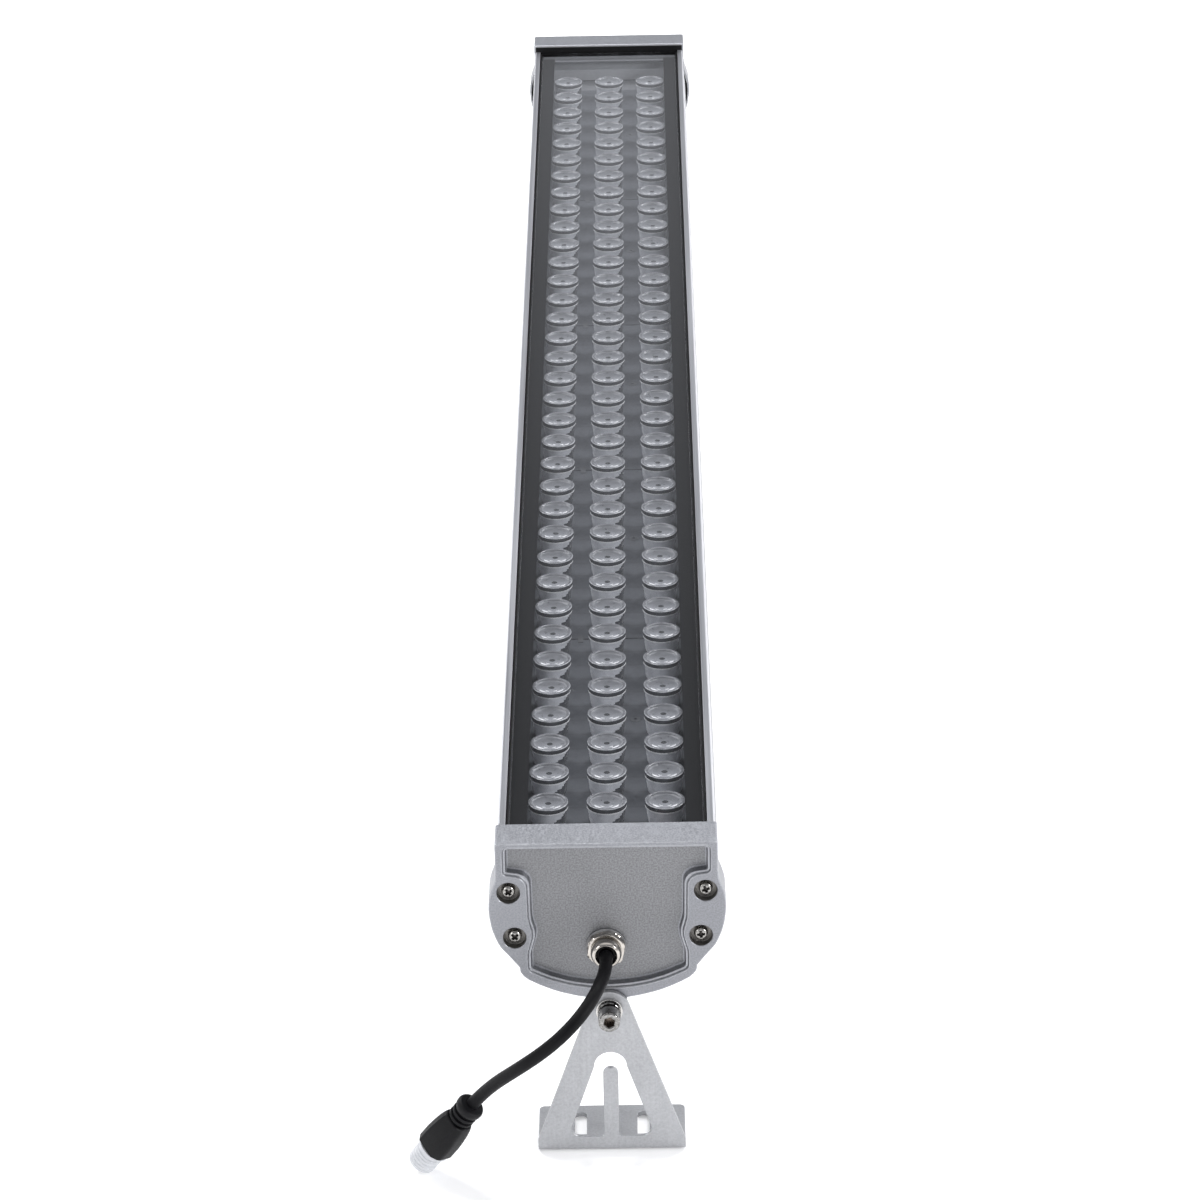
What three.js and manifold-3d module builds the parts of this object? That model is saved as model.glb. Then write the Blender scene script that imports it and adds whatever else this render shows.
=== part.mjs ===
// LED linear wall washer, 1 m class: an extruded aluminium housing with a glass
// cover, three columns of lenses over LED boards, two cast end caps, two tilting
// sheet-metal brackets, and a short supply cord with a moulded plug.
// Millimetres, +X across the bar, +Y along it (cord end at -Y), +Z up.
// The origin is at the middle of the footprint, on the plane the brackets stand on.
import * as THREE from 'three';
import { mergeVertices } from 'three/addons/utils/BufferGeometryUtils.js';
import Module from 'manifold-3d';

const wasm = await Module();
wasm.setup();

// ---------------------------------------------------------------- dimensions
const BODY_LENGTH = 1000;         // over the two end caps
const CAP_DEPTH = 17.3;           // end cap, along the bar
const CAP_TOP = 137.5;            // top edge of the end caps above the floor
const CAP_HALF = 43.3;            // half width of the caps at the top
const CAP_POCKET = 4.0;           // depth of the recess in the cap's outer face
const GASKET_T = 1.2;             // end gasket thickness
const GAP = 0.3;                  // running gap between touching pieces
const RIM_TOP = 134.2;            // top of the housing's side rims
const RIM_IN = 39.6;              // inner face of the rims, half width
const GLASS_HALF = 38.3;
const GLASS_T = 4.0;
const GLASS_TOP = 133.7;
const WEB_TOP = 116.1;            // shelf the LED boards lie on
const BOARD_T = 1.6;
const BOARD_HALF = 33.8;
const ROWS = 35;
const ROW_PITCH = 26.22;
const COL_PITCH = 23.3;
const LENS_TOP = 128.0;
const LENS_R = 7.95;
const LENS_FOOT_R = 5.6;
const BOARDS = 5;
const AXIS_Z = 64.7;              // tilt axis of the brackets
const BRACKET_T = 2.0;
const FOOT_HALF = 29.4;
const FOOT_DEPTH = 31.7;
const PLATE_R = 8.0;              // round top of the bracket plate
const SLOT_X = 12.6;              // foot slots, centre
const SLOT_W = 4.8;
const SLOT_Y0 = 5.6;              // slot start and end, from the plate's front
const SLOT_Y1 = 26.4;
const SCREW_UP = [38.4, 116.1];   // end cap screws
const SCREW_LOW = [36.4, 96.2];
const GLAND = [-0.8, 89.9];       // cable gland axis (x, z)
const CORD_R = 2.6;
const PLUG_COLLAR = [-54.12, -523.6, 35.51];
const PLUG_AXIS = [-0.5435, 0.2368, -0.8053];

const HALF = BODY_LENGTH / 2;
const CAP_IN = HALF - CAP_DEPTH;                    // inner face of the caps
const GASKET_OUT = CAP_IN - GAP;
const GASKET_IN = GASKET_OUT - GASKET_T;
const HOUSE_END = GASKET_IN - GAP;
const PLATE_BACK = HALF + GAP;                      // bracket plate, inner face
const PLATE_FRONT = PLATE_BACK + BRACKET_T;

// ------------------------------------------------------------------- helpers
const group = new THREE.Group();

// Shared vertices, no slivers, faces pointing out.
function bare(g) {
  const c = g.clone();
  for (const k of Object.keys(c.attributes)) if (k !== 'position') c.deleteAttribute(k);
  const m = mergeVertices(c, 1e-4);
  const p = m.attributes.position.array, ix = [];
  let volume = 0;
  for (let i = 0; i < m.index.count; i += 3) {
    const [a, b, d] = [m.index.array[i], m.index.array[i + 1], m.index.array[i + 2]];
    if (a === b || b === d || a === d) continue;
    ix.push(a, b, d);
    const [ax, ay, az] = p.slice(3 * a, 3 * a + 3), [bx, by, bz] = p.slice(3 * b, 3 * b + 3), [cx, cy, cz] = p.slice(3 * d, 3 * d + 3);
    volume += ax * (by * cz - bz * cy) + ay * (bz * cx - bx * cz) + az * (bx * cy - by * cx);
  }
  if (volume < 0) for (let i = 0; i < ix.length; i += 3) [ix[i + 1], ix[i + 2]] = [ix[i + 2], ix[i + 1]];
  m.setIndex(ix);
  return m;
}
function solid(g) {
  const c = bare(g);
  return new wasm.Manifold(new wasm.Mesh({
    numProp: 3,
    vertProperties: new Float32Array(c.attributes.position.array),
    triVerts: new Uint32Array(c.index.array),
  }));
}
function geometry(m) {
  const q = m.getMesh();
  const g = new THREE.BufferGeometry();
  const n = q.numProp;
  const p = new Float32Array((q.vertProperties.length / n) * 3);
  for (let i = 0; i < p.length / 3; i++) for (let k = 0; k < 3; k++) p[3 * i + k] = q.vertProperties[n * i + k];
  g.setAttribute('position', new THREE.BufferAttribute(p, 3));
  g.setIndex(new THREE.BufferAttribute(new Uint32Array(q.triVerts), 1));
  g.computeVertexNormals();
  return g;
}
const joined = (...gs) => geometry(gs.map(solid).reduce((a, b) => a.add(b)));
const cut = (g, ...tools) => geometry(tools.map(solid).reduce((a, b) => a.subtract(b), solid(g)));
const common = (a, b) => geometry(solid(a).intersect(solid(b)));

function material(hex, roughness, metalness, extra = {}) {
  return new THREE.MeshStandardMaterial({ color: hex, roughness, metalness, ...extra });
}
const MAT = {
  cast: () => material(0xa6a8b0, 0.5, 0.85),
  housing: () => material(0xb4b6bc, 0.4, 0.9),
  bracket: () => material(0xb8babf, 0.38, 0.95),
  steel: () => material(0xc2bfba, 0.22, 1.0),
  zinc: () => material(0x9b9a98, 0.3, 1.0),
  nickel: () => material(0xb9b0a4, 0.18, 1.0),
  rubber: () => material(0x1b1b1d, 0.75, 0.0),
  glass: () => material(0xdfe6ea, 0.05, 0.0, { transparent: true, opacity: 0.3 }),
  board: () => material(0x4b4e54, 0.55, 0.0),
  lens: () => material(0xe4e7ea, 0.08, 0.0, { transparent: true, opacity: 0.5 }),
  cord: () => material(0x202024, 0.55, 0.0),
  plug: () => material(0x1c1c1f, 0.5, 0.0),
  insert: () => material(0xd8d9dd, 0.4, 0.0),
  brass: () => material(0xb08d4a, 0.3, 1.0),
  wire: () => material(0x8e2a22, 0.5, 0.0),
  driver: () => material(0x9fa2a6, 0.45, 0.9),
  pcb: () => material(0x1f5b38, 0.5, 0.0),
};

function put(name, geo, mat, parent = group) {
  const g = bare(geo);
  g.computeVertexNormals();
  const m = new THREE.Mesh(g, mat());
  m.name = name;
  parent.add(m);
  return m;
}
function shapeOf(points) {
  const s = new THREE.Shape();
  points.forEach(([x, y], i) => (i ? s.lineTo(x, y) : s.moveTo(x, y)));
  s.closePath();
  return s;
}
function ringPoints(cx, cy, r, n, turn = 0) {
  const out = [];
  for (let i = 0; i < n; i++) {
    const a = turn + (2 * Math.PI * i) / n;
    out.push([cx + r * Math.cos(a), cy + r * Math.sin(a)]);
  }
  return out;
}
function arcPoints(cx, cy, r, a0, a1, n) {
  const out = [];
  for (let i = 0; i <= n; i++) {
    const a = ((a0 + ((a1 - a0) * i) / n) * Math.PI) / 180;
    out.push([cx + r * Math.cos(a), cy + r * Math.sin(a)]);
  }
  return out;
}
// Mirrors a right-hand profile, listed from the top centre down, into a full loop.
function mirrored(right) {
  const left = right.filter(([x]) => Math.abs(x) > 1e-6).map(([x, z]) => [-x, z]).reverse();
  return [...right, ...left];
}
function inset(points, d) {
  const n = points.length;
  let area = 0;
  for (let i = 0; i < n; i++) {
    const [x0, y0] = points[i], [x1, y1] = points[(i + 1) % n];
    area += x0 * y1 - x1 * y0;
  }
  const s = area > 0 ? 1 : -1;
  return points.map((p, i) => {
    const a = points[(i + n - 1) % n], b = points[(i + 1) % n];
    const u = [p[0] - a[0], p[1] - a[1]], v = [b[0] - p[0], b[1] - p[1]];
    const lu = Math.hypot(...u), lv = Math.hypot(...v);
    const nu = [(-u[1] / lu) * s, (u[0] / lu) * s], nv = [(-v[1] / lv) * s, (v[0] / lv) * s];
    const k = 1 + nu[0] * nv[0] + nu[1] * nv[1];
    return [p[0] + (d * (nu[0] + nv[0])) / k, p[1] + (d * (nu[1] + nv[1])) / k];
  });
}
// A profile in the XZ plane, extruded along Y from y0 to y1.
function alongY(outline, holes, y0, y1) {
  const g = new THREE.ExtrudeGeometry(shapeOf(outline), { depth: y1 - y0, bevelEnabled: false, steps: 1 });
  g.rotateX(Math.PI / 2);
  g.translate(0, y1, 0);
  return holes.length ? cut(g, ...holes.map((h) => alongY(h, [], y0 - 1, y1 + 1))) : g;
}
// A profile in the XY plane, extruded up Z.
function alongZ(outline, holes, z0, z1) {
  const g = new THREE.ExtrudeGeometry(shapeOf(outline), { depth: z1 - z0, bevelEnabled: false, steps: 1 });
  g.translate(0, 0, z0);
  return holes.length ? cut(g, ...holes.map((h) => alongZ(h, [], z0 - 1, z1 + 1))) : g;
}
function box(x0, x1, y0, y1, z0, z1) {
  const g = new THREE.BoxGeometry(x1 - x0, y1 - y0, z1 - z0);
  g.translate((x0 + x1) / 2, (y0 + y1) / 2, (z0 + z1) / 2);
  return g;
}
// Turned piece about a line parallel to Y through (x, z); profile is [radius, y].
function turned(profile, x, z, n, sign = 1) {
  const g = new THREE.LatheGeometry(profile.map(([r, y]) => new THREE.Vector2(r, y)), n);
  if (sign < 0) g.rotateX(Math.PI);
  g.translate(x, 0, z);
  return g;
}
function rectPoints(x0, x1, y0, y1, r, n = 3) {
  return [
    ...arcPoints(x1 - r, y1 - r, r, 0, 90, n), ...arcPoints(x0 + r, y1 - r, r, 90, 180, n),
    ...arcPoints(x0 + r, y0 + r, r, 180, 270, n), ...arcPoints(x1 - r, y0 + r, r, 270, 360, n),
  ];
}
// Round bar of n sides along a smooth curve through the points.
function tube(points, r, n, steps) {
  const curve = new THREE.CatmullRomCurve3(points.map((p) => new THREE.Vector3(...p)));
  return new THREE.ExtrudeGeometry(shapeOf(ringPoints(0, 0, r, n)), {
    steps, extrudePath: curve, bevelEnabled: false,
  });
}

// ------------------------------------------------------------------ profiles
const capRight = [
  [0, CAP_TOP], [CAP_HALF - 0.6, CAP_TOP], [CAP_HALF, CAP_TOP - 0.6], [CAP_HALF, 125.5], [43.7, 121],
  [44.9, 117.5], [45.9, 114], [46.35, 109.8], [46.1, 105.3], [45.4, 100.9], [44, 96.3], [42, 92],
  [39.2, 88.5], [35.9, 84.3], [34.8, 82.9], [34.6, 80.8], [33.4, 79], [31.6, 77.4], [28, 75.4], [24, 73.5],
  [20, 71.9], [16, 70.7], [12, 69.7], [8, 69.05], [7, 68.9],
  ...arcPoints(0, AXIS_Z, 7, 0, -90, 4),
];
const capOutline = mirrored(capRight);
const housingRight = [
  [RIM_IN, RIM_TOP], [42, RIM_TOP], [42.6, 133.3], [42.8, 128], [43.1, 121], [43.7, 115.5], [43.95, 110],
  [43.6, 105], [42.9, 101], [41.6, 96.6], [39.6, 92.4], [37, 88.6], [34, 85.2], [30.5, 81.8], [26.5, 79],
  [22, 76.5], [16, 74], [10, 72.3], [4, 71.3], [0, 71.1],
];
const troughRight = [            // from the web's centre out and up to the rim
  [0, WEB_TOP], [34.6, WEB_TOP], [34.6, 119.4], [36, 120.4], [39.8, 121.6], [39.8, 125], [36, 126.2],
  [36, 128.1], [RIM_IN, 128.1],
];
const chamberRight = [
  [0, 113.1], [38.5, 113.1], [41, 111], [40.8, 102.4], [38.8, 100.6], [33, 100.4], [32, 98.8], [32, 93.4],
  [33.2, 92], [35, 90.4], [32, 87], [28, 83.6], [23, 80.7], [16, 77.8], [8, 75.4], [0, 74.7],
];
const pocketRight = [
  [0, 136], [38.4, 136], [39.8, 135.4], [40.4, 134], [40.4, 125.6], [39.8, 124.6], [37.4, 123.8], [34.4, 122.3],
  [32.2, 119.8], [31.1, 116.5], [31, 108], [30.4, 101], [29.3, 97.4], [30.2, 92], [31.3, 87.6], [31.3, 82.6],
  [29, 80.3], [23.2, 77.5], [15.6, 75], [8, 73.7], [0, 73.2],
];
const screws = [
  ['upper_right', ...SCREW_UP], ['upper_left', -SCREW_UP[0], SCREW_UP[1]],
  ['lower_right', ...SCREW_LOW], ['lower_left', -SCREW_LOW[0], SCREW_LOW[1]],
];

// ------------------------------------------------------------------- housing
{
  const outer = [
    ...housingRight,
    ...housingRight.slice(0, -1).map(([x, z]) => [-x, z]).reverse(),
    ...troughRight.slice(1).map(([x, z]) => [-x, z]).reverse(),
    ...troughRight.slice(1),
  ];
  const holes = [mirrored(chamberRight), ...screws.map(([, x, z]) => ringPoints(x, z, 2.1, 8, Math.PI / 8))];
  const body = alongY(outer, holes, -HOUSE_END, HOUSE_END);
  const wireHole = new THREE.CylinderGeometry(4, 4, 8, 12);
  wireHole.rotateX(Math.PI / 2);
  wireHole.translate(20, -468, 114.6);
  put('housing', cut(body, wireHole), MAT.housing);
}

// -------------------------------------------------------------- glass, seals
{
  const end = HOUSE_END - 1.3;
  const bottom = GLASS_TOP - GLASS_T;
  const slab = [
    [-GLASS_HALF, bottom], [GLASS_HALF, bottom], [GLASS_HALF, GLASS_TOP - 0.5], [GLASS_HALF - 0.5, GLASS_TOP],
    [-GLASS_HALF + 0.5, GLASS_TOP], [-GLASS_HALF, GLASS_TOP - 0.5],
  ];
  put('glass_cover', alongY(slab, [], -end, end), MAT.glass);
  const o = RIM_IN - GAP;
  const ring = cut(
    box(-o, o, -HOUSE_END + 0.2, HOUSE_END - 0.2, 128.4, 133.1),
    box(-36, 36, -HOUSE_END + 4, HOUSE_END - 4, 127, 135),
    box(-GLASS_HALF - GAP, GLASS_HALF + GAP, -end - GAP, end + GAP, bottom - GAP, 136),
  );
  put('cover_gasket', ring, MAT.rubber);
}
for (const [tag, s] of [['near', -1], ['far', 1]]) {
  const y0 = s < 0 ? -GASKET_OUT : GASKET_IN, y1 = s < 0 ? -GASKET_IN : GASKET_OUT;
  const upper = capOutline.filter(([, z]) => z > 68.8);
  const outline = inset(upper, 1.0);
  const holes = [
    rectPoints(-33.5, 33.5, 116.2, 127.6, 1.5, 2),
    rectPoints(-27, 27, 84, 105.5, 3, 2),
    ...screws.map(([, x, z]) => ringPoints(x, z, 2.2, 8, Math.PI / 8)),
  ];
  put(`end_gasket_${tag}`, alongY(outline, holes, y0, y1), MAT.rubber);
}

// ------------------------------------------------------------------ end caps
for (const [tag, s] of [['near', -1], ['far', 1]]) {
  const at = (a, b) => (s < 0 ? [-b, -a] : [a, b]);
  const holes = [
    ...screws.map(([, x, z]) => ringPoints(x, z, 2.1, 8, Math.PI / 8)),
    ringPoints(0, AXIS_Z, 3.0, 12),
  ];
  const body = alongY(capOutline, holes, ...at(CAP_IN, HALF));
  const tools = [
    alongY(mirrored(pocketRight), [], ...at(HALF - CAP_POCKET, HALF + 1)),
    alongY(rectPoints(-27, 27, 80.5, 105.5, 4, 2), [], ...at(CAP_IN - 1, HALF - CAP_POCKET - 3)),
    ...screws.map(([, x, z]) => alongY(ringPoints(x, z, 4.55, 20), [], ...at(HALF - 3.4, HALF + 1))),
  ];
  if (s < 0) tools.push(alongY(ringPoints(...GLAND, 6.35, 16), [], ...at(CAP_IN, HALF)));
  put(`end_cap_${tag}`, cut(body, ...tools), MAT.cast);
  for (const [place, x, z] of screws) {
    const seat = HALF - 3.4 + GAP;
    const profile = [
      [0, seat - 26], [1.45, seat - 26], [1.45, seat], [2.7, seat], [2.7, seat + 1.3], [2.1, seat + 2.1], [1.0, seat + 2.3], [0, seat + 2.3],
    ];
    put(`cap_screw_${tag}_${place}`, turned(profile, x, s < 0 ? z : z, 10, s), MAT.steel);
  }
}

// --------------------------------------------------------------- cable gland
{
  const [gx, gz] = GLAND;
  const floor = HALF - CAP_POCKET;
  const rev = (profile, n) => turned(profile, gx, gz, n, -1);
  put('gland_washer', rev([[6.5, floor + GAP], [7.9, floor + GAP], [7.9, floor + GAP + 0.7], [6.5, floor + GAP + 0.7], [6.5, floor + GAP]], 24), MAT.rubber);
  // body: threaded shank through the cap wall, and a hexagon outside
  const y0 = floor + GAP + 0.7 + GAP;
  const hex = alongY(ringPoints(gx, gz, 8.05, 6, (19 * Math.PI) / 180), [], -(y0 + 2.9), -y0);
  const shank = rev([[0, floor - 11], [5.9, floor - 11], [5.9, y0 + 1], [0, y0 + 1]], 20);
  const bore = rev([[0, floor - 13], [3.3, floor - 13], [3.3, y0 + 5], [0, y0 + 5]], 16);
  put('gland_body', cut(joined(hex, shank), bore), MAT.nickel);
  const y1 = y0 + 2.9 + GAP;
  put('gland_dome_nut', rev([
    [4.15, y1], [6.1, y1], [6.1, y1 + 1.9], [5.9, y1 + 2.9], [5.3, y1 + 3.7], [4.6, y1 + 4.0], [4.15, y1 + 3.8], [4.15, y1],
  ], 20), MAT.nickel);
  put('gland_cord_seal', rev([
    [2.95, y1 + 0.2], [3.8, y1 + 0.2], [3.8, y1 + 2.6], [2.95, y1 + 2.6], [2.95, y1 + 0.2],
  ], 16), MAT.rubber);
  const wall = floor - 3;
  const nutHex = alongY(ringPoints(gx, gz, 8.6, 6), [ringPoints(gx, gz, 6.3, 16)], -(wall - GAP), -(wall - GAP - 3));
  put('gland_locknut', nutHex, MAT.nickel);
}

// ---------------------------------------------------------------------- cord
const ROUTE = [
  [-0.8, -503.5, 89.9], [-0.82, -508.6, 89.98], [-1.1, -513.71, 89.95], [-1.75, -518.79, 89.75], [-2.85, -523.75, 89.2],
  [-4.44, -528.45, 88.1], [-6.58, -532.75, 86.4], [-9.26, -536.45, 84.1], [-12.41, -539.37, 81.35], [-15.93, -541.37, 78.22],
  [-19.65, -542.37, 74.87], [-23.43, -542.44, 71.41], [-27.13, -541.75, 67.94], [-30.68, -540.46, 64.48], [-34.05, -538.7, 61.05],
  [-37.23, -536.6, 57.63], [-40.24, -534.27, 54.2], [-43.09, -531.81, 50.73], [-45.83, -529.36, 47.16], [-48.52, -527.06, 43.46],
  [-51.24, -525.08, 39.59], [-54.04, -523.61, 35.57],
];
put('supply_cord', tube(ROUTE, CORD_R, 10, 26), MAT.cord);

// ---------------------------------------------------------------------- plug
{
  const plug = new THREE.Group();
  plug.position.set(...PLUG_COLLAR);
  plug.quaternion.setFromUnitVectors(new THREE.Vector3(0, 0, 1), new THREE.Vector3(...PLUG_AXIS).normalize());
  group.add(plug);
  const lathe = (profile, n, turn = 0) => {
    const g = new THREE.LatheGeometry(profile.map(([r, y]) => new THREE.Vector2(r, y)), n);
    g.rotateX(Math.PI / 2);
    g.rotateZ(turn);
    return g;
  };
  put('plug_body', lathe([
    [0, 0.4], [4.6, 0.4], [5.6, 1.6], [5.6, 3.6], [4.5, 4.4], [4.5, 10.2], [5.3, 11.2], [6.4, 18], [7.1, 28.6], [0, 28.6],
  ], 12, Math.PI / 12), MAT.plug, plug);
  put('plug_insert', cut(
    lathe([[0, 28.9], [6.9, 28.9], [6.9, 30.2], [5.9, 30.4], [5.7, 39.1], [5.2, 39.8], [0, 39.8]], 12, Math.PI / 12),
    lathe([[0, 31.5], [4.2, 31.5], [4.2, 42], [0, 42]], 12),
  ), MAT.insert, plug);
  for (const [i, x] of [[1, -1.6], [2, 1.6]]) {
    const pin = lathe([[0, 31.8], [0.75, 31.8], [0.75, 37.4], [0, 37.9]], 8);
    pin.translate(x, 0, 0);
    put(`plug_pin_${i}`, pin, MAT.brass, plug);
  }
}

// ------------------------------------------------------------------ brackets
for (const [tag, s] of [['near', -1], ['far', 1]]) {
  // L-shaped sheet, drawn for the +Y end and mirrored for the other end
  const f = PLATE_FRONT, b = PLATE_BACK, t = BRACKET_T;
  const back = f - FOOT_DEPTH;
  const sheetProfile = [
    [f, AXIS_Z + PLATE_R + 1], [b, AXIS_Z + PLATE_R + 1], [b, t + 0.8], [b - 0.25, t + 0.25], [b - 0.8, t], [back, t], [back, 0],
    [f - 2.4, 0], [f - 1.2, 0.35], [f - 0.35, 1.2], [f, 2.4],
  ];
  // outline in (y, z), extruded along X
  const strip = new THREE.ExtrudeGeometry(shapeOf(sheetProfile), { depth: 2 * FOOT_HALF, bevelEnabled: false, steps: 1 });
  // (y, z, depth) -> (depth, y, z)
  strip.applyMatrix4(new THREE.Matrix4().makeBasis(new THREE.Vector3(0, 1, 0), new THREE.Vector3(0, 0, 1), new THREE.Vector3(1, 0, 0)));
  strip.translate(-FOOT_HALF, 0, 0);
  // plate outline, tangent from the foot's corners to the round top
  const base = [FOOT_HALF, 5.2];
  const d = Math.hypot(base[0], base[1] - AXIS_Z);
  const phi = Math.atan2(base[1] - AXIS_Z, base[0]) + Math.acos(PLATE_R / d);
  const a0 = (phi * 180) / Math.PI;
  const plateRight = [[FOOT_HALF, -1], base, ...arcPoints(0, AXIS_Z, PLATE_R, a0, 90, 9)];
  const plate = [...plateRight, ...plateRight.slice(0, -1).map(([x, z]) => [-x, z]).reverse()];
  // triangular window with a plain round-topped tongue standing in it
  const slope = 0.338, topR = 6.5, topZ = 38.9, tongue = 3.0, tongueTop = 38.2, low = 6.7;
  const side = (z) => topR + (topZ - z) * slope;
  const half = [
    [side(low) - 5.5, low], [side(low) - 2.6, low + 0.7], [side(low) - 0.9, low + 2.4], [side(low + 5), low + 5],
    ...arcPoints(0, topZ, topR, 0, 90, 7),
  ];
  const tongueRight = [
    [tongue + 0.8, low], [tongue + 0.2, low + 0.2], [tongue, low + 0.8],
    ...arcPoints(0, tongueTop - tongue, tongue, 0, 90, 5),
  ];
  const opening = [
    ...half, ...half.slice(0, -1).map(([x, z]) => [-x, z]).reverse(),
    ...tongueRight.map(([x, z]) => [-x, z]), ...tongueRight.slice(0, -1).reverse(),
  ];
  const platePrism = alongY(plate, [ringPoints(0, AXIS_Z, 2.9, 16), opening], b - 0.8, f + 1);
  const r = 2.4;
  const foot = [
    [-FOOT_HALF, b - 0.7], [-FOOT_HALF, back + r], ...arcPoints(-FOOT_HALF + r, back + r, r, 180, 270, 4),
    ...arcPoints(FOOT_HALF - r, back + r, r, 270, 360, 4), [FOOT_HALF, b - 0.7],
  ];
  const slot = (x) => rectPoints(x - SLOT_W / 2, x + SLOT_W / 2, f - SLOT_Y1, f - SLOT_Y0, SLOT_W / 2 - 0.01, 5);
  const footPrism = alongZ(foot, [slot(SLOT_X), slot(-SLOT_X)], -1, 40);
  const bendKeep = box(-FOOT_HALF - 1, FOOT_HALF + 1, b - 1.2, f + 1, -1, 5.2);
  let sheet = solid(strip).intersect(solid(platePrism).add(solid(footPrism)).add(solid(bendKeep)));
  let g = geometry(sheet);
  if (s < 0) {
    g.rotateZ(Math.PI);
  }
  put(`bracket_${tag}`, g, MAT.bracket);

  const w0 = f + GAP, w1 = w0 + 1.2, q0 = w1 + GAP, q1 = q0 + 1.9, h0 = q1 + GAP, h1 = h0 + 6.3;
  put(`bolt_washer_${tag}`, turned([[2.75, w0], [5.3, w0], [5.3, w1], [2.75, w1], [2.75, w0]], 0, AXIS_Z, 20, s), MAT.steel);
  put(`spring_washer_${tag}`, turned([[2.75, q0], [4.7, q0], [4.7, q1], [2.75, q1], [2.75, q0]], 0, AXIS_Z, 20, s), MAT.steel);
  const head = turned([
    [0, CAP_IN + 2.5], [2.35, CAP_IN + 2.5], [2.35, h0], [4.25, h0], [4.35, h0 + 0.4], [4.35, h1 - 0.5], [3.9, h1], [0, h1],
  ], 0, AXIS_Z, 18, s);
  const socket = alongY(ringPoints(0, AXIS_Z, 2.35, 6), [], s < 0 ? -(h1 + 1) : h1 - 3.2, s < 0 ? -(h1 - 3.2) : h1 + 1);
  put(`bracket_bolt_${tag}`, cut(head, socket), MAT.steel);
}

// ----------------------------------------------------------- boards and lenses
const perBoard = ROWS / BOARDS;
for (let k = 0; k < BOARDS; k++) {
  const mid = (k * perBoard + (perBoard - 1) / 2 - (ROWS - 1) / 2) * ROW_PITCH;
  const half = (perBoard * ROW_PITCH) / 2 - 0.4;
  const z0 = WEB_TOP + GAP, z1 = z0 + BOARD_T;
  const screwAt = [COL_PITCH / 2, mid + ROW_PITCH / 2];
  let board = solid(alongZ(rectPoints(-BOARD_HALF, BOARD_HALF, mid - half, mid + half, 1, 1),
    [ringPoints(...screwAt, 1.9, 8)], z0, z1));
  let lenses = solid(box(-BOARD_HALF + 1, BOARD_HALF - 1, mid - half + 0.5, mid + half - 0.5, z1 + 1.5, z1 + 2.1));
  const lensTool = new THREE.CylinderGeometry(LENS_R, LENS_FOOT_R, LENS_TOP - (z1 + 1.9), 7, 1);
  lensTool.rotateX(Math.PI / 2);
  const many = [];
  for (let r = 0; r < perBoard; r++) for (let c = -1; c <= 1; c++) {
    const x = c * COL_PITCH, y = (k * perBoard + r - (ROWS - 1) / 2) * ROW_PITCH;
    board = board.add(solid(box(x - 1.75, x + 1.75, y - 1.75, y + 1.75, z1 - 0.2, z1 + 1.0)));
    const g = lensTool.clone();
    g.translate(x, y, (LENS_TOP + z1 + 1.9) / 2);
    lenses = lenses.add(solid(g));
  }
  lenses = lenses.subtract(solid(new THREE.CylinderGeometry(3.1, 3.1, 6, 10).rotateX(Math.PI / 2).translate(screwAt[0], screwAt[1], z1 + 2)));
  put(`led_board_${k + 1}`, geometry(board), MAT.board);
  put(`lens_array_${k + 1}`, geometry(lenses), MAT.lens);
  const screw = new THREE.LatheGeometry([
    [0, WEB_TOP + 0.35], [1.3, WEB_TOP + 0.35], [1.3, z1 + GAP], [2.6, z1 + GAP], [2.6, z1 + 1.3], [2, z1 + 1.8], [0, z1 + 1.8],
  ].map(([r, z]) => new THREE.Vector2(r, z)), 10).rotateX(Math.PI / 2).translate(...screwAt, 0);
  put(`board_screw_${k + 1}`, screw, MAT.zinc);
  if (k < BOARDS - 1) {
    const y = mid + half + 0.4;
    // small jumper link over the joint of two boards
    const link = new THREE.ExtrudeGeometry(shapeOf([
      [-4, 0], [-3, 0], [-2.2, 0.3], [2.2, 0.3], [3, 0], [4, 0], [4, 0.5], [3.2, 0.5], [2.4, 0.8], [-2.4, 0.8], [-3.2, 0.5], [-4, 0.5],
    ]), { depth: 3, bevelEnabled: false });
    link.applyMatrix4(new THREE.Matrix4().makeBasis(new THREE.Vector3(0, 1, 0), new THREE.Vector3(0, 0, 1), new THREE.Vector3(1, 0, 0)));
    link.translate(-COL_PITCH / 2 - 1.5, y, z1 + 0.3);
    put(`board_link_${k + 1}`, link, MAT.wire);
  }
}

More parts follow.
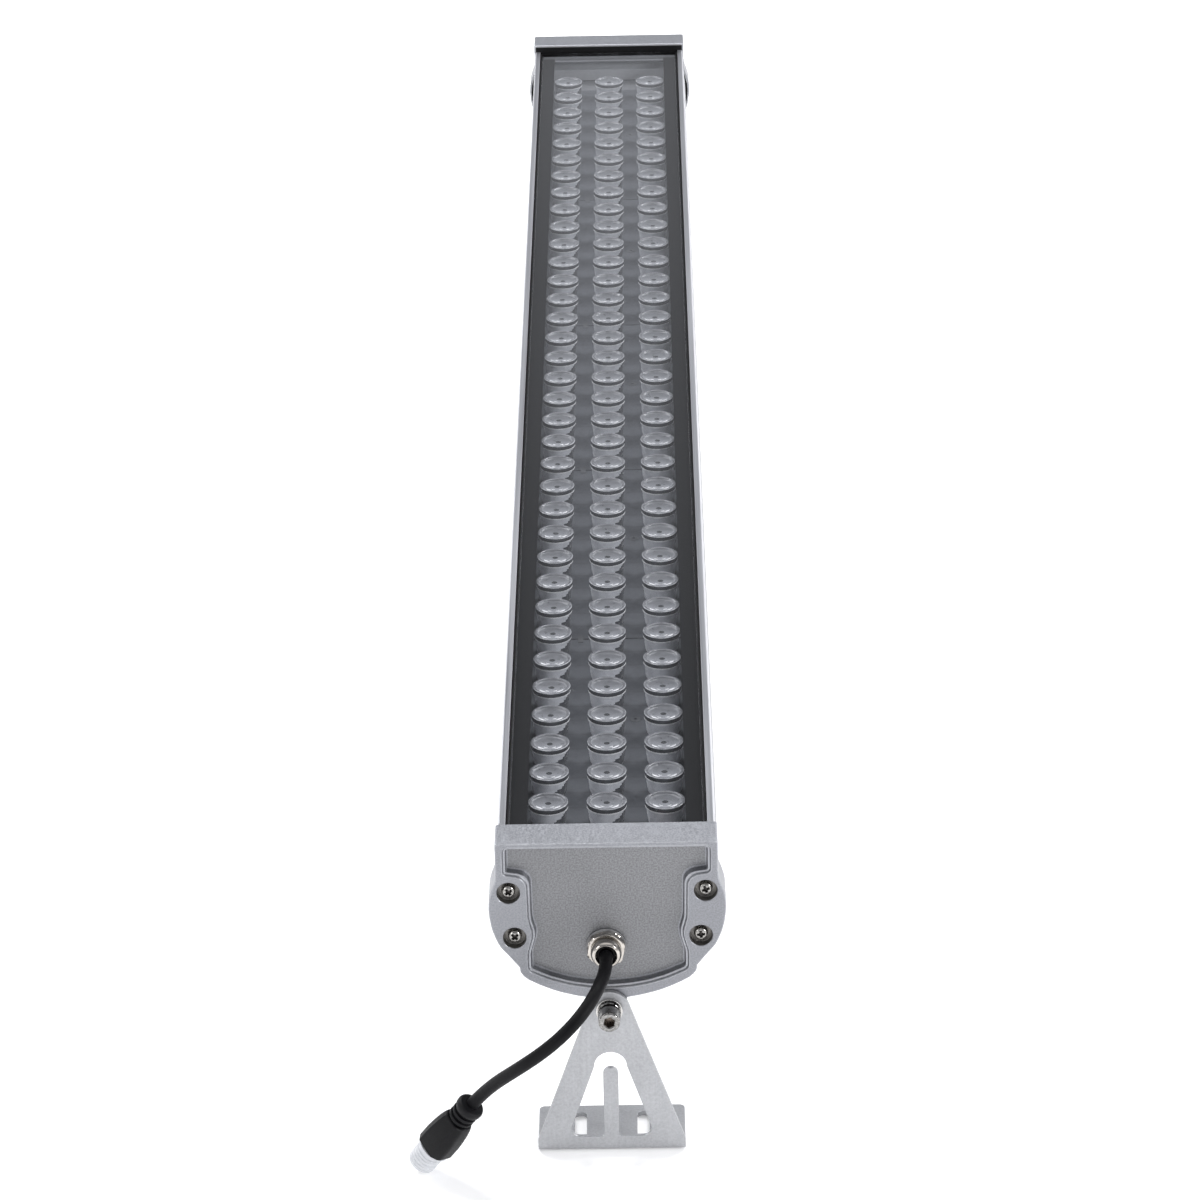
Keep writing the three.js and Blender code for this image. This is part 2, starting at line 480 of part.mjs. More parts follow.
// --------------------------------------------------------- driver and its leads
{
  const y0 = -430, y1 = -250;
  const channel = [
    [-21, 84.5], [21, 84.5], [21, 104], [19.8, 104], [19.8, 85.7], [-19.8, 85.7], [-19.8, 104], [-21, 104],
  ];
  put('driver_case', alongY(channel, [], y0, y1), MAT.driver);
  let board = solid(box(-18.8, 18.8, y0 + 2, y1 - 2, 87.5, 89.1));
  for (const [x, y, w, l, h] of [
    [-9, -410, 7, 12, 9], [8, -405, 9, 9, 12], [-6, -375, 10, 16, 8], [9, -370, 6, 6, 10], [0, -335, 14, 18, 11], [-10, -300, 7, 7, 12], [8, -295, 8, 14, 6], [0, -268, 12, 8, 5],
  ]) board = board.add(solid(box(x - w / 2, x + w / 2, y - l / 2, y + l / 2, 88.8, 89.1 + h)));
  put('driver_board', geometry(board), MAT.pcb);
  put('supply_lead_inner', tube([
    [GLAND[0], -483.5, GLAND[1]], [GLAND[0], -476, 90.2], [-2, -465, 91], [-6, -452, 91.5], [-9, -440, 91.4], [-9, -432.5, 91.4],
  ], 2.2, 8, 9), MAT.cord);
  put('led_feed_lead', tube([
    [12, -433, 94], [13, -441, 95.5], [16, -452, 100], [19, -462, 106], [20, -467, 112], [19.5, -466.5, 117.5], [17, -464, 120], [15, -460.5, 121.6],
  ], 1.4, 6, 14), MAT.wire);
}

export default group;
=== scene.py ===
# LED linear wall washer, 1 m class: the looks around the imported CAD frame.
# Shapes are written in millimetres in the CAD's own frame and scaled to metres.
import math

import bpy
import bmesh
from mathutils import Matrix, Vector
from mathutils.geometry import tessellate_polygon


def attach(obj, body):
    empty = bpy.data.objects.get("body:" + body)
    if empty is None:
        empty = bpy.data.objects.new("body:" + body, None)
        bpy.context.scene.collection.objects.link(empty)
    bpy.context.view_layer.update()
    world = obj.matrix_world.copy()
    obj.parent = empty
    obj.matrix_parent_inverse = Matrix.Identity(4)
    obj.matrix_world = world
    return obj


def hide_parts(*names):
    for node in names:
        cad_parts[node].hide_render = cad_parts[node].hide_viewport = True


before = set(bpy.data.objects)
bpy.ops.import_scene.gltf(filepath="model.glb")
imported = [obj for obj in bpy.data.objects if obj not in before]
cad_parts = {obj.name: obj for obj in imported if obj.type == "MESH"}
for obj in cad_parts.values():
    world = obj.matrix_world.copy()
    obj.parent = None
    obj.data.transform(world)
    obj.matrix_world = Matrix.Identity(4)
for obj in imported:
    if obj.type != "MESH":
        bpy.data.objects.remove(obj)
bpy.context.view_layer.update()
MM = 0.001
scene = bpy.context.scene

# =============================================================== camera
cam_data = bpy.data.cameras.new("camera")
cam_data.sensor_width = 36.0
cam_data.lens = 138.88
cam_data.clip_start = 0.05
cam_data.clip_end = 60.0
cam = bpy.data.objects.new("camera", cam_data)
scene.collection.objects.link(cam)
R = Vector((0.99981759, 0.00281192, -0.01889131))
U = Vector((0.01592607, 0.42323428, 0.90588029))
F = Vector((-0.01054271, 0.90601591, -0.4231123))
cam.matrix_world = Matrix((
    (R.x, U.x, -F.x, 18.076 * MM),
    (R.y, U.y, -F.y, -2082.777 * MM),
    (R.z, U.z, -F.z, 980.628 * MM),
    (0, 0, 0, 1),
))
scene.camera = cam


# =============================================================== mesh helpers
class Part:
    """Collects rings and faces in millimetres."""

    def __init__(self):
        self.v, self.f, self.m = [], [], []

    def ring(self, pts):
        i = len(self.v)
        self.v += [tuple(p) for p in pts]
        return list(range(i, i + len(pts)))

    def skin(self, rings, mat=0):
        for a, b in zip(rings, rings[1:]):
            n = len(a)
            for k in range(n):
                self.f.append((a[k], a[(k + 1) % n], b[(k + 1) % n], b[k]))
                self.m.append(mat)

    def cap(self, loops, mat=0):
        """Fills a flat region: the first loop is its outline, the others are holes."""
        flat = [i for lp in loops for i in lp]
        tris = tessellate_polygon([[Vector(self.v[i]) for i in lp] for lp in loops])
        for t in tris:
            self.f.append(tuple(flat[i] for i in t))
            self.m.append(mat)

    def lathe(self, profile, at, n=32, axis="Y", sign=1, mat=0, turn=0.0, shape=None):
        """profile: (radius, distance along the axis). Closed on the axis where the radius is 0."""
        rings = []
        for r, h in profile:
            pts = []
            for i in range(n):
                a = turn + 2 * math.pi * i / n
                rr = r * (shape(a) if shape else 1.0)
                c, s = rr * math.cos(a), rr * math.sin(a)
                if axis == "Y":
                    pts.append((at[0] + c, at[1] + sign * h, at[2] + s))
                else:
                    pts.append((at[0] + c, at[1] + s, at[2] + h))
            if r == 0:
                p = pts[0]
                i = self.ring([p])[0]
                rings.append([i] * n)
            else:
                rings.append(self.ring(pts))
        for a, b in zip(rings, rings[1:]):
            for k in range(n):
                q = (a[k], a[(k + 1) % n], b[(k + 1) % n], b[k])
                u = []
                for x in q:
                    if x not in u:
                        u.append(x)
                if len(u) > 2:
                    self.f.append(tuple(u))
                    self.m.append(mat)
        return rings

    def add(self, other, matrix=None):
        base = len(self.v)
        for p in other.v:
            q = (matrix @ Vector(p)) if matrix is not None else Vector(p)
            self.v.append(tuple(q))
        self.f += [tuple(i + base for i in f) for f in other.f]
        self.m += other.m


def finish_part(part, name, body, mats, replaces=(), smooth=38.0, weighted=True, matrix=None, weld=1e-5):
    me = bpy.data.meshes.new(name)
    pts = []
    for p in part.v:
        q = (matrix @ Vector(p)) if matrix is not None else p
        pts.append((q[0] * MM, q[1] * MM, q[2] * MM))
    me.from_pydata(pts, [], part.f)
    me.polygons.foreach_set("material_index", part.m)
    bm = bmesh.new()
    bm.from_mesh(me)
    bmesh.ops.remove_doubles(bm, verts=bm.verts, dist=weld * MM * 100)
    bmesh.ops.recalc_face_normals(bm, faces=bm.faces)
    bm.to_mesh(me)
    bm.free()
    me.shade_smooth()
    me.set_sharp_from_angle(angle=math.radians(smooth))
    ob = bpy.data.objects.new(name, me)
    scene.collection.objects.link(ob)
    for m in mats:
        me.materials.append(m)
    if weighted:
        w = ob.modifiers.new("weighted", "WEIGHTED_NORMAL")
        w.keep_sharp = True
        w.weight = 80
    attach(ob, body)
    if replaces:
        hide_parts(*replaces)
    return ob


def rounded(points, radii, n=8):
    """A closed 2-D outline with each corner rounded to its radius."""
    out = []
    count = len(points)
    for i, p in enumerate(points):
        a = Vector(points[(i - 1) % count])
        b = Vector(p)
        c = Vector(points[(i + 1) % count])
        r = radii[i]
        u, w = (a - b), (c - b)
        lu, lw = u.length, w.length
        u, w = u / lu, w / lw
        cosang = max(-1, min(1, u.dot(w)))
        ang = math.acos(cosang)
        if r <= 1e-6 or ang > math.pi - 1e-3:
            out.append((b.x, b.y))
            continue
        t = r / math.tan(ang / 2)
        lim = min(lu, lw) * 0.49
        if t > lim:
            t = lim
            r = t * math.tan(ang / 2)
        s, e = b + u * t, b + w * t
        centre = b + (u + w).normalized() * (r / math.sin(ang / 2))
        a0 = math.atan2(s.y - centre.y, s.x - centre.x)
        a1 = math.atan2(e.y - centre.y, e.x - centre.x)
        d = a1 - a0
        while d > math.pi:
            d -= 2 * math.pi
        while d < -math.pi:
            d += 2 * math.pi
        for k in range(n + 1):
            q = a0 + d * k / n
            out.append((centre.x + r * math.cos(q), centre.y + r * math.sin(q)))
    return out


def area2(pts):
    return sum(pts[i][0] * pts[(i + 1) % len(pts)][1] - pts[(i + 1) % len(pts)][0] * pts[i][1] for i in range(len(pts)))


def inset(pts, d):
    """Moves a closed outline inwards by d, keeping its points."""
    if abs(d) < 1e-9:
        return list(pts)
    n = len(pts)
    s = 1 if area2(pts) > 0 else -1
    out = []
    for i, p in enumerate(pts):
        a, b = pts[(i - 1) % n], pts[(i + 1) % n]
        u = Vector((p[0] - a[0], p[1] - a[1])).normalized()
        w = Vector((b[0] - p[0], b[1] - p[1])).normalized()
        nu, nw = Vector((-u.y, u.x)) * s, Vector((-w.y, w.x)) * s
        k = max(0.35, 1 + nu.dot(nw))
        q = (nu + nw) / k * d
        out.append((p[0] + q.x, p[1] + q.y))
    return out


def key_inset(keys, radii, d, n=8):
    """The rounded outline of a polygon's corners moved inwards by d, so that arcs stay concentric."""
    s = 1 if area2(keys) > 0 else -1
    moved = inset(keys, d)
    rr = []
    for i, r in enumerate(radii):
        a, b, c = keys[i - 1], keys[i], keys[(i + 1) % len(keys)]
        turn = ((b[0] - a[0]) * (c[1] - b[1]) - (b[1] - a[1]) * (c[0] - b[0])) * s
        rr.append(0 if r == 0 else max(0.25, r - d if turn > 0 else r + d))
    return rounded(moved, rr, n)


def catmull(points, per=6):
    """Open smooth curve through 2-D or 3-D points."""
    P = [Vector(p) for p in points]
    P = [P[0] + (P[0] - P[1])] + P + [P[-1] + (P[-1] - P[-2])]
    out = []
    for i in range(1, len(P) - 2):
        p0, p1, p2, p3 = P[i - 1], P[i], P[i + 1], P[i + 2]
        t0 = 0.0
        t1 = t0 + max(1e-6, (p1 - p0).length) ** 0.5
        t2 = t1 + max(1e-6, (p2 - p1).length) ** 0.5
        t3 = t2 + max(1e-6, (p3 - p2).length) ** 0.5
        for k in range(per):
            t = t1 + (t2 - t1) * k / per
            a1 = (t1 - t) / (t1 - t0) * p0 + (t - t0) / (t1 - t0) * p1
            a2 = (t2 - t) / (t2 - t1) * p1 + (t - t1) / (t2 - t1) * p2
            a3 = (t3 - t) / (t3 - t2) * p2 + (t - t2) / (t3 - t2) * p3
            b1 = (t2 - t) / (t2 - t0) * a1 + (t - t0) / (t2 - t0) * a2
            b2 = (t3 - t) / (t3 - t1) * a2 + (t - t1) / (t3 - t1) * a3
            c = (t2 - t) / (t2 - t1) * b1 + (t - t1) / (t2 - t1) * b2
            out.append(tuple(c))
    out.append(tuple(P[-2]))
    return out


def mirror_loop(right):
    """Right half, from the top centre down to the bottom centre, made into a closed loop."""
    left = [(-x, z) for x, z in reversed(right) if abs(x) > 1e-6]
    return list(right) + left


def circle(cx, cy, r, n=32, turn=0.0):
    return [(cx + r * math.cos(turn + 2 * math.pi * i / n), cy + r * math.sin(turn + 2 * math.pi * i / n)) for i in range(n)]


# =============================================================== materials
class Shader:
    def __init__(self, name, color=(0.5, 0.5, 0.5), rough=0.5, metal=0.0, **sockets):
        self.m = bpy.data.materials.new(name)
        self.m.use_nodes = True
        self.nt = self.m.node_tree
        self.nt.nodes.clear()
        self.out = self.nt.nodes.new("ShaderNodeOutputMaterial")
        self.b = self.nt.nodes.new("ShaderNodeBsdfPrincipled")
        self.nt.links.new(self.b.outputs[0], self.out.inputs["Surface"])
        self.b.inputs["Base Color"].default_value = (*color, 1)
        self.b.inputs["Roughness"].default_value = rough
        self.b.inputs["Metallic"].default_value = metal
        for k, v in sockets.items():
            self.b.inputs[k.replace("_", " ")].default_value = v
        self.coord = None

    def node(self, kind, **values):
        n = self.nt.nodes.new(kind)
        for k, v in values.items():
            setattr(n, k, v)
        return n

    def link(self, a, b):
        self.nt.links.new(a, b)

    def position(self, stretch=(1, 1, 1), turn=(0, 0, 0)):
        if self.coord is None:
            self.coord = self.node("ShaderNodeTexCoord")
        mp = self.node("ShaderNodeMapping")
        mp.inputs["Scale"].default_value = stretch
        mp.inputs["Rotation"].default_value = turn
        self.link(self.coord.outputs["Object"], mp.inputs["Vector"])
        return mp.outputs["Vector"]

    def noise(self, scale, detail=3.0, rough=0.55, stretch=(1, 1, 1), distort=0.0, turn=(0, 0, 0)):
        n = self.node("ShaderNodeTexNoise")
        n.inputs["Scale"].default_value = scale
        n.inputs["Detail"].default_value = detail
        n.inputs["Roughness"].default_value = rough
        n.inputs["Distortion"].default_value = distort
        self.link(self.position(stretch, turn), n.inputs["Vector"])
        return n.outputs["Fac"]

    def voronoi(self, scale, feature="F1", stretch=(1, 1, 1), rand=1.0):
        n = self.node("ShaderNodeTexVoronoi", feature=feature)
        n.inputs["Scale"].default_value = scale
        n.inputs["Randomness"].default_value = rand
        self.link(self.position(stretch), n.inputs["Vector"])
        return n.outputs["Distance"]

    def ramp(self, fac, stops):
        r = self.node("ShaderNodeValToRGB")
        e = r.color_ramp.elements
        while len(e) < len(stops):
            e.new(0.5)
        for i, (p, c) in enumerate(stops):
            e[i].position = p
            e[i].color = (*c, 1) if len(c) == 3 else c
        self.link(fac, r.inputs["Fac"])
        return r.outputs["Color"]

    def range(self, fac, lo, hi, a=0.3, b=0.7):
        r = self.node("ShaderNodeMapRange")
        r.inputs["From Min"].default_value = a
        r.inputs["From Max"].default_value = b
        r.inputs["To Min"].default_value = lo
        r.inputs["To Max"].default_value = hi
        self.link(fac, r.inputs["Value"])
        return r.outputs["Result"]

    def color(self, sock):
        self.link(sock, self.b.inputs["Base Color"])

    def rough(self, sock):
        self.link(sock, self.b.inputs["Roughness"])

    def math(self, op, a, b):
        n = self.node("ShaderNodeMath", operation=op)
        for i, x in enumerate((a, b)):
            if isinstance(x, (int, float)):
                n.inputs[i].default_value = x
            else:
                self.link(x, n.inputs[i])
        return n.outputs[0]

    def mix(self, fac, a, b, blend="MIX"):
        n = self.node("ShaderNodeMix", data_type="RGBA", blend_type=blend)
        if isinstance(fac, (int, float)):
            n.inputs[0].default_value = fac
        else:
            self.link(fac, n.inputs[0])
        for i, x in ((6, a), (7, b)):
            if isinstance(x, tuple):
                n.inputs[i].default_value = (*x, 1)
            else:
                self.link(x, n.inputs[i])
        return n.outputs[2]

    def bump(self, height, strength=0.3, distance=0.0001):
        n = self.node("ShaderNodeBump")
        n.inputs["Strength"].default_value = strength
        n.inputs["Distance"].default_value = distance
        self.link(height, n.inputs["Height"])
        self.link(n.outputs["Normal"], self.b.inputs["Normal"])
        return n


def tone(c, k):
    return tuple(min(1.0, x * k) for x in c)


def cast_metal(name, base, rough, grain, grain_strength, speckle):
    s = Shader(name, base, rough, 0.9)
    big = s.noise(22, 3)
    fine = s.noise(grain, 2, 0.6)
    c = s.ramp(big, [(0.3, tone(base, 0.93)), (0.7, tone(base, 1.06))])
    sp = s.ramp(fine, [(0.38, (1 - speckle,) * 3), (0.62, (1 + 0, 1, 1)), (0.75, (1, 1, 1))])
    s.color(s.mix(1.0, c, sp, "MULTIPLY"))
    s.rough(s.range(fine, rough - 0.08, rough + 0.1))
    s.bump(fine, grain_strength, 0.00012)
    return s.m


def make_materials():
    M = {}
    # painted, sand-blasted casting
    M["cast"] = cast_metal("cast_aluminium", (0.292, 0.298, 0.32), 0.44, 1500, 0.5, 0.24)
    M["cast_floor"] = cast_metal("cast_aluminium_speckled", (0.25, 0.253, 0.263), 0.46, 1500, 0.55, 0.36)
    # lighter copy of the same casting for the caps' top faces: painted light from above
    M["cast_top"] = cast_metal("cast_aluminium_top_painted_light", (0.385, 0.394, 0.424), 0.44, 1500, 0.5, 0.24)
    # the same casting made brighter on raised edges: rubbed coat and painted highlight
    s = Shader("cast_edge_wear_and_highlight", (0.5, 0.51, 0.54), 0.28, 0.95)
    g = s.noise(900, 3, 0.65)
    s.color(s.ramp(g, [(0.3, (0.27, 0.276, 0.295)), (0.5, (0.335, 0.342, 0.365)), (0.7, (0.40, 0.408, 0.43))]))
    s.rough(s.range(g, 0.4, 0.5))
    s.bump(g, 0.2, 0.0001)
    M["cast_edge"] = s.m
    # extruded, bead-blasted and anodised; the lower body of the channel is a darker, rougher copy of its rims, the
    # darker colour painted shade
    for key, name, base, r0, r1 in (("extrusion", "extruded_aluminium", (0.51, 0.518, 0.548), 0.32, 0.44), ("channel", "extruded_aluminium_body_painted_shade", (0.27, 0.275, 0.292), 0.42, 0.54)):
        s = Shader(name, base, 0.36, 1.0)
        lines = s.noise(420, 2, 0.5, (1, 0.012, 1))
        fine = s.noise(2600, 2, 0.6)
        big = s.noise(9, 2)
        c = s.ramp(lines, [(0.3, tone(base, 0.94)), (0.7, tone(base, 1.05))])
        c = s.mix(0.5, c, s.ramp(big, [(0.3, tone(base, 0.95)), (0.7, tone(base, 1.05))]))
        s.color(c)
        s.rough(s.range(lines, r0, r1))
        s.bump(s.math("ADD", s.math("MULTIPLY", lines, 0.6), s.math("MULTIPLY", fine, 0.4)), 0.25, 0.00008)
        M[key] = s.m
    # back of the caps, dull and light-coloured: painted light for the shaded trough end
    s = Shader("cast_inside_painted_light", (0.46, 0.47, 0.495), 0.6, 0.0)
    g = s.noise(900, 3, 0.6)
    s.color(s.ramp(g, [(0.3, (0.42, 0.43, 0.455)), (0.7, (0.5, 0.51, 0.535))]))
    s.rough(s.range(g, 0.5, 0.7))
    s.bump(g, 0.2, 0.0001)
    M["inside"] = s.m
    # floor of the light trough, grey, lighter than the board: painted light for its shaded ends
    s = Shader("trough_floor_painted_light", (0.15, 0.155, 0.166), 0.5, 0.2)
    g = s.noise(500, 3)
    s.color(s.ramp(g, [(0.3, (0.135, 0.14, 0.15)), (0.7, (0.165, 0.17, 0.182))]))
    s.rough(s.range(g, 0.4, 0.6))
    M["trough"] = s.m
    # raw rolled sheet, brushed upright
    s = Shader("brushed_sheet", (0.40, 0.405, 0.42), 0.42, 0.6)
    base = (0.385, 0.39, 0.405)
    grain = s.noise(900, 3, 0.65, (1, 1, 0.03))
    long = s.noise(120, 2, 0.5, (1, 1, 0.06))
    blot = s.noise(30, 3, 0.6)
    fleck = s.noise(1000, 3, 0.7)
    c = s.ramp(grain, [(0.3, tone(base, 0.8)), (0.5, tone(base, 1.0)), (0.72, tone(base, 1.16))])
    c = s.mix(0.5, c, s.ramp(fleck, [(0.32, tone(base, 0.62)), (0.5, base), (0.68, tone(base, 1.36))]))
    c = s.mix(0.45, c, s.ramp(blot, [(0.3, tone(base, 0.9)), (0.7, tone(base, 1.1))]))
    s.color(c)
    s.rough(s.range(s.math("ADD", s.math("MULTIPLY", grain, 0.5), s.math("MULTIPLY", long, 0.5)), 0.36, 0.52))
    s.bump(grain, 0.25, 0.00006)
    M["bracket"] = s.m
    # cut edges of the sheet, brighter
    s = Shader("sheet_edge", (0.5, 0.505, 0.52), 0.3, 0.9)
    g = s.noise(1400, 2, 0.6)
    s.color(s.ramp(g, [(0.3, (0.34, 0.345, 0.36)), (0.7, (0.46, 0.465, 0.48))]))
    s.rough(s.range(g, 0.42, 0.55))
    M["bracket_edge"] = s.m
    # stainless fasteners
    s = Shader("stainless_steel", (0.56, 0.55, 0.535), 0.2, 1.0)
    g = s.noise(1500, 2, 0.6)
    s.color(s.ramp(g, [(0.3, (0.47, 0.46, 0.445)), (0.7, (0.60, 0.59, 0.575))]))
    s.rough(s.range(g, 0.14, 0.3))
    s.bump(g, 0.12, 0.00004)
    M["stainless"] = s.m
    s = Shader("screw_steel", (0.36, 0.35, 0.335), 0.26, 1.0)
    g = s.noise(1500, 2, 0.6)
    s.color(s.ramp(g, [(0.3, (0.27, 0.26, 0.245)), (0.7, (0.42, 0.41, 0.395))]))
    s.rough(s.range(g, 0.2, 0.36))
    s.bump(g, 0.15, 0.00004)
    M["screw"] = s.m
    # darker copy of the stainless for the bolts and split washers: painted shade
    s = Shader("bolt_steel_painted_shade", (0.33, 0.325, 0.315), 0.17, 1.0)
    g = s.noise(1300, 3, 0.6)
    s.color(s.ramp(g, [(0.3, (0.15, 0.146, 0.14)), (0.6, (0.30, 0.295, 0.287)), (0.75, (0.48, 0.475, 0.465))]))
    s.rough(s.range(g, 0.08, 0.22))
    s.bump(g, 0.45, 0.00012)
    M["bolt"] = s.m
    # inside of the hex socket, dark brownish: painted shade in the recess
    s = Shader("bolt_socket_painted_shade", (0.14, 0.115, 0.095), 0.3, 0.9)
    g = s.noise(1600, 3)
    s.color(s.ramp(g, [(0.3, (0.07, 0.056, 0.046)), (0.7, (0.22, 0.185, 0.155))]))
    s.rough(s.range(g, 0.22, 0.42))
    M["socket"] = s.m
    # cross recess of the cap screws, near black: painted shade
    s = Shader("screw_recess_painted_shade", (0.045, 0.04, 0.038), 0.5, 0.6)
    g = s.noise(2500, 2)
    s.color(s.ramp(g, [(0.3, (0.02, 0.018, 0.017)), (0.7, (0.09, 0.082, 0.078))]))
    M["recess"] = s.m
    # walls of the counterbores and holes, darker than the casting: painted shade
    s = Shader("counterbore_painted_shade", (0.17, 0.163, 0.155), 0.4, 0.85)
    g = s.noise(1800, 2)
    s.color(s.ramp(g, [(0.3, (0.12, 0.114, 0.108)), (0.7, (0.22, 0.212, 0.2))]))
    s.rough(s.range(g, 0.32, 0.5))
    M["bore"] = s.m
    # nickel-plated brass, warm
    s = Shader("nickel_plate", (0.62, 0.585, 0.545), 0.13, 1.0)
    g = s.noise(260, 3, 0.6)
    f = s.noise(2200, 2)
    s.color(s.ramp(g, [(0.3, (0.38, 0.355, 0.325)), (0.7, (0.55, 0.52, 0.485))]))
    s.rough(s.range(f, 0.09, 0.2))
    s.bump(g, 0.06, 0.0001)
    M["nickel"] = s.m
    # rubber seals
    s = Shader("black_rubber", (0.006, 0.006, 0.0065), 0.62, 0.0)
    s.b.inputs["Specular IOR Level"].default_value = 0.15
    g = s.noise(1300, 3)
    s.color(s.ramp(g, [(0.3, (0.004, 0.004, 0.0045)), (0.7, (0.010, 0.010, 0.011))]))
    s.rough(s.range(g, 0.5, 0.75))
    s.bump(g, 0.3, 0.0001)
    M["rubber"] = s.m
    s = Shader("nylon_washer", (0.20, 0.2, 0.205), 0.4, 0.0)
    g = s.noise(900, 2)
    s.color(s.ramp(g, [(0.3, (0.165, 0.165, 0.17)), (0.7, (0.235, 0.235, 0.24))]))
    M["nylon"] = s.m
    # cover seal: black lip above, lighter grey below the glass: painted light for the shaded trough ends
    s = Shader("cover_seal", (0.006, 0.006, 0.0065), 0.65, 0.0)
    s.b.inputs["Specular IOR Level"].default_value = 0.1
    tcn = s.node("ShaderNodeTexCoord")
    sep = s.node("ShaderNodeSeparateXYZ")
    s.link(tcn.outputs["Generated"], sep.inputs[0])
    g = s.noise(1300, 3)
    # lower part of the seal lighter grey: painted light
    up = s.ramp(sep.outputs["Z"], [(0.66, (0.17, 0.175, 0.187)), (0.70, (0.006, 0.006, 0.0065))])
    s.color(s.mix(0.06, up, s.ramp(g, [(0.3, (0.004, 0.004, 0.0045)), (0.7, (0.010, 0.010, 0.011))])))
    s.rough(s.range(g, 0.5, 0.75))
    M["cover_seal"] = s.m
    # printed black border under the glass
    s = Shader("black_print", (0.006, 0.0062, 0.007), 0.5, 0.0)
    s.b.inputs["Specular IOR Level"].default_value = 0.1
    g = s.noise(700, 3)
    s.color(s.ramp(g, [(0.3, (0.0055, 0.0057, 0.0066)), (0.7, (0.0095, 0.0098, 0.011))]))
    s.rough(s.range(g, 0.4, 0.55))
    M["print"] = s.m
    # cord jacket
    s = Shader("cord_jacket", (0.006, 0.006, 0.0075), 0.5, 0.0)
    s.b.inputs["Specular IOR Level"].default_value = 0.12
    g = s.noise(900, 3, 0.6)
    b = s.noise(60, 2)
    s.color(s.ramp(b, [(0.3, (0.0028, 0.0028, 0.0036)), (0.7, (0.0055, 0.0055, 0.0066))]))
    s.rough(s.range(g, 0.42, 0.58))
    s.bump(g, 0.25, 0.00012)
    M["cord"] = s.m
    # moulded plug
    s = Shader("plug_moulding", (0.004, 0.004, 0.005), 0.48, 0.0)
    s.b.inputs["Specular IOR Level"].default_value = 0.18
    g = s.noise(1600, 3, 0.6)
    b = s.noise(90, 2)
    s.color(s.ramp(b, [(0.3, (0.0025, 0.0025, 0.0032)), (0.7, (0.005, 0.005, 0.0062))]))
    s.rough(s.range(g, 0.4, 0.58))
    s.bump(g, 0.4, 0.00012)
    M["plug"] = s.m
    s = Shader("plug_insert", (0.72, 0.73, 0.76), 0.35, 0.0)
    s.b.inputs["Subsurface Weight"].default_value = 0.15
    s.b.inputs["Subsurface Radius"].default_value = (0.002, 0.002, 0.002)
    g = s.noise(500, 2)
    s.color(s.ramp(g, [(0.3, (0.54, 0.552, 0.58)), (0.7, (0.64, 0.65, 0.675))]))
    s.rough(s.range(g, 0.3, 0.44))
    s.bump(g, 0.08, 0.0001)
    M["insert"] = s.m
    s = Shader("contact_brass", (0.72, 0.55, 0.26), 0.24, 1.0)
    g = s.noise(1200, 2)
    s.color(s.ramp(g, [(0.3, (0.62, 0.46, 0.2)), (0.7, (0.78, 0.6, 0.3))]))
    s.rough(s.range(g, 0.18, 0.34))
    M["brass"] = s.m
    # LED boards: grey solder resist with thin darker bands, two to each row pitch
    s = Shader("led_board", (0.058, 0.061, 0.067), 0.5, 0.0)
    w = s.node("ShaderNodeTexWave", wave_type="BANDS", bands_direction="Y", wave_profile="SIN")
    w.inputs["Scale"].default_value = 23.97
    w.inputs["Distortion"].default_value = 0.0
    s.link(s.position(), w.inputs["Vector"])
    g = s.noise(340, 3, 0.6)
    base = s.ramp(w.outputs["Fac"], [(0.0, (0.040, 0.043, 0.050)), (0.06, (0.058, 0.063, 0.073)), (1.0, (0.058, 0.063, 0.073))])
    s.color(s.mix(0.35, base, s.ramp(g, [(0.3, (0.044, 0.048, 0.056)), (0.7, (0.069, 0.075, 0.086))])))
    s.rough(s.range(g, 0.42, 0.6))
    s.bump(g, 0.1, 0.00008)
    M["board"] = s.m
    s = Shader("solder_pad", (0.30, 0.30, 0.31), 0.35, 0.9)
    g = s.noise(1500, 2)
    s.color(s.ramp(g, [(0.3, (0.24, 0.24, 0.25)), (0.7, (0.36, 0.36, 0.37))]))
    M["pad"] = s.m
    s = Shader("emitter_phosphor", (0.12, 0.12, 0.118), 0.4, 0.0)
    g = s.noise(1500, 2)
    s.color(s.ramp(g, [(0.3, (0.08, 0.08, 0.079)), (0.7, (0.17, 0.168, 0.16))]))
    M["emitter"] = s.m
    # lens flange edge: clear acrylic coloured dark, painted shade for the dark inside seen through it
    s = Shader("lens_acrylic", (0.16, 0.165, 0.178), 0.06, 0.0)
    s.b.inputs["Transmission Weight"].default_value = 0.25
    s.b.inputs["IOR"].default_value = 1.49
    g = s.noise(300, 2)
    s.color(s.ramp(g, [(0.3, (0.06, 0.063, 0.07)), (0.7, (0.10, 0.104, 0.112))]))
    s.rough(s.range(g, 0.04, 0.1))
    M["lens"] = s.m
    # lens skirt: the moulded side wall, faintly frosted
    s = Shader("lens_skirt", (0.62, 0.63, 0.66), 0.3, 0.0)
    s.b.inputs["Coat Weight"].default_value = 0.4
    g = s.noise(260, 3)
    s.color(s.ramp(g, [(0.3, (0.62, 0.635, 0.675)), (0.7, (0.75, 0.765, 0.805))]))
    s.rough(s.range(g, 0.2, 0.35))
    M["skirt"] = s.m
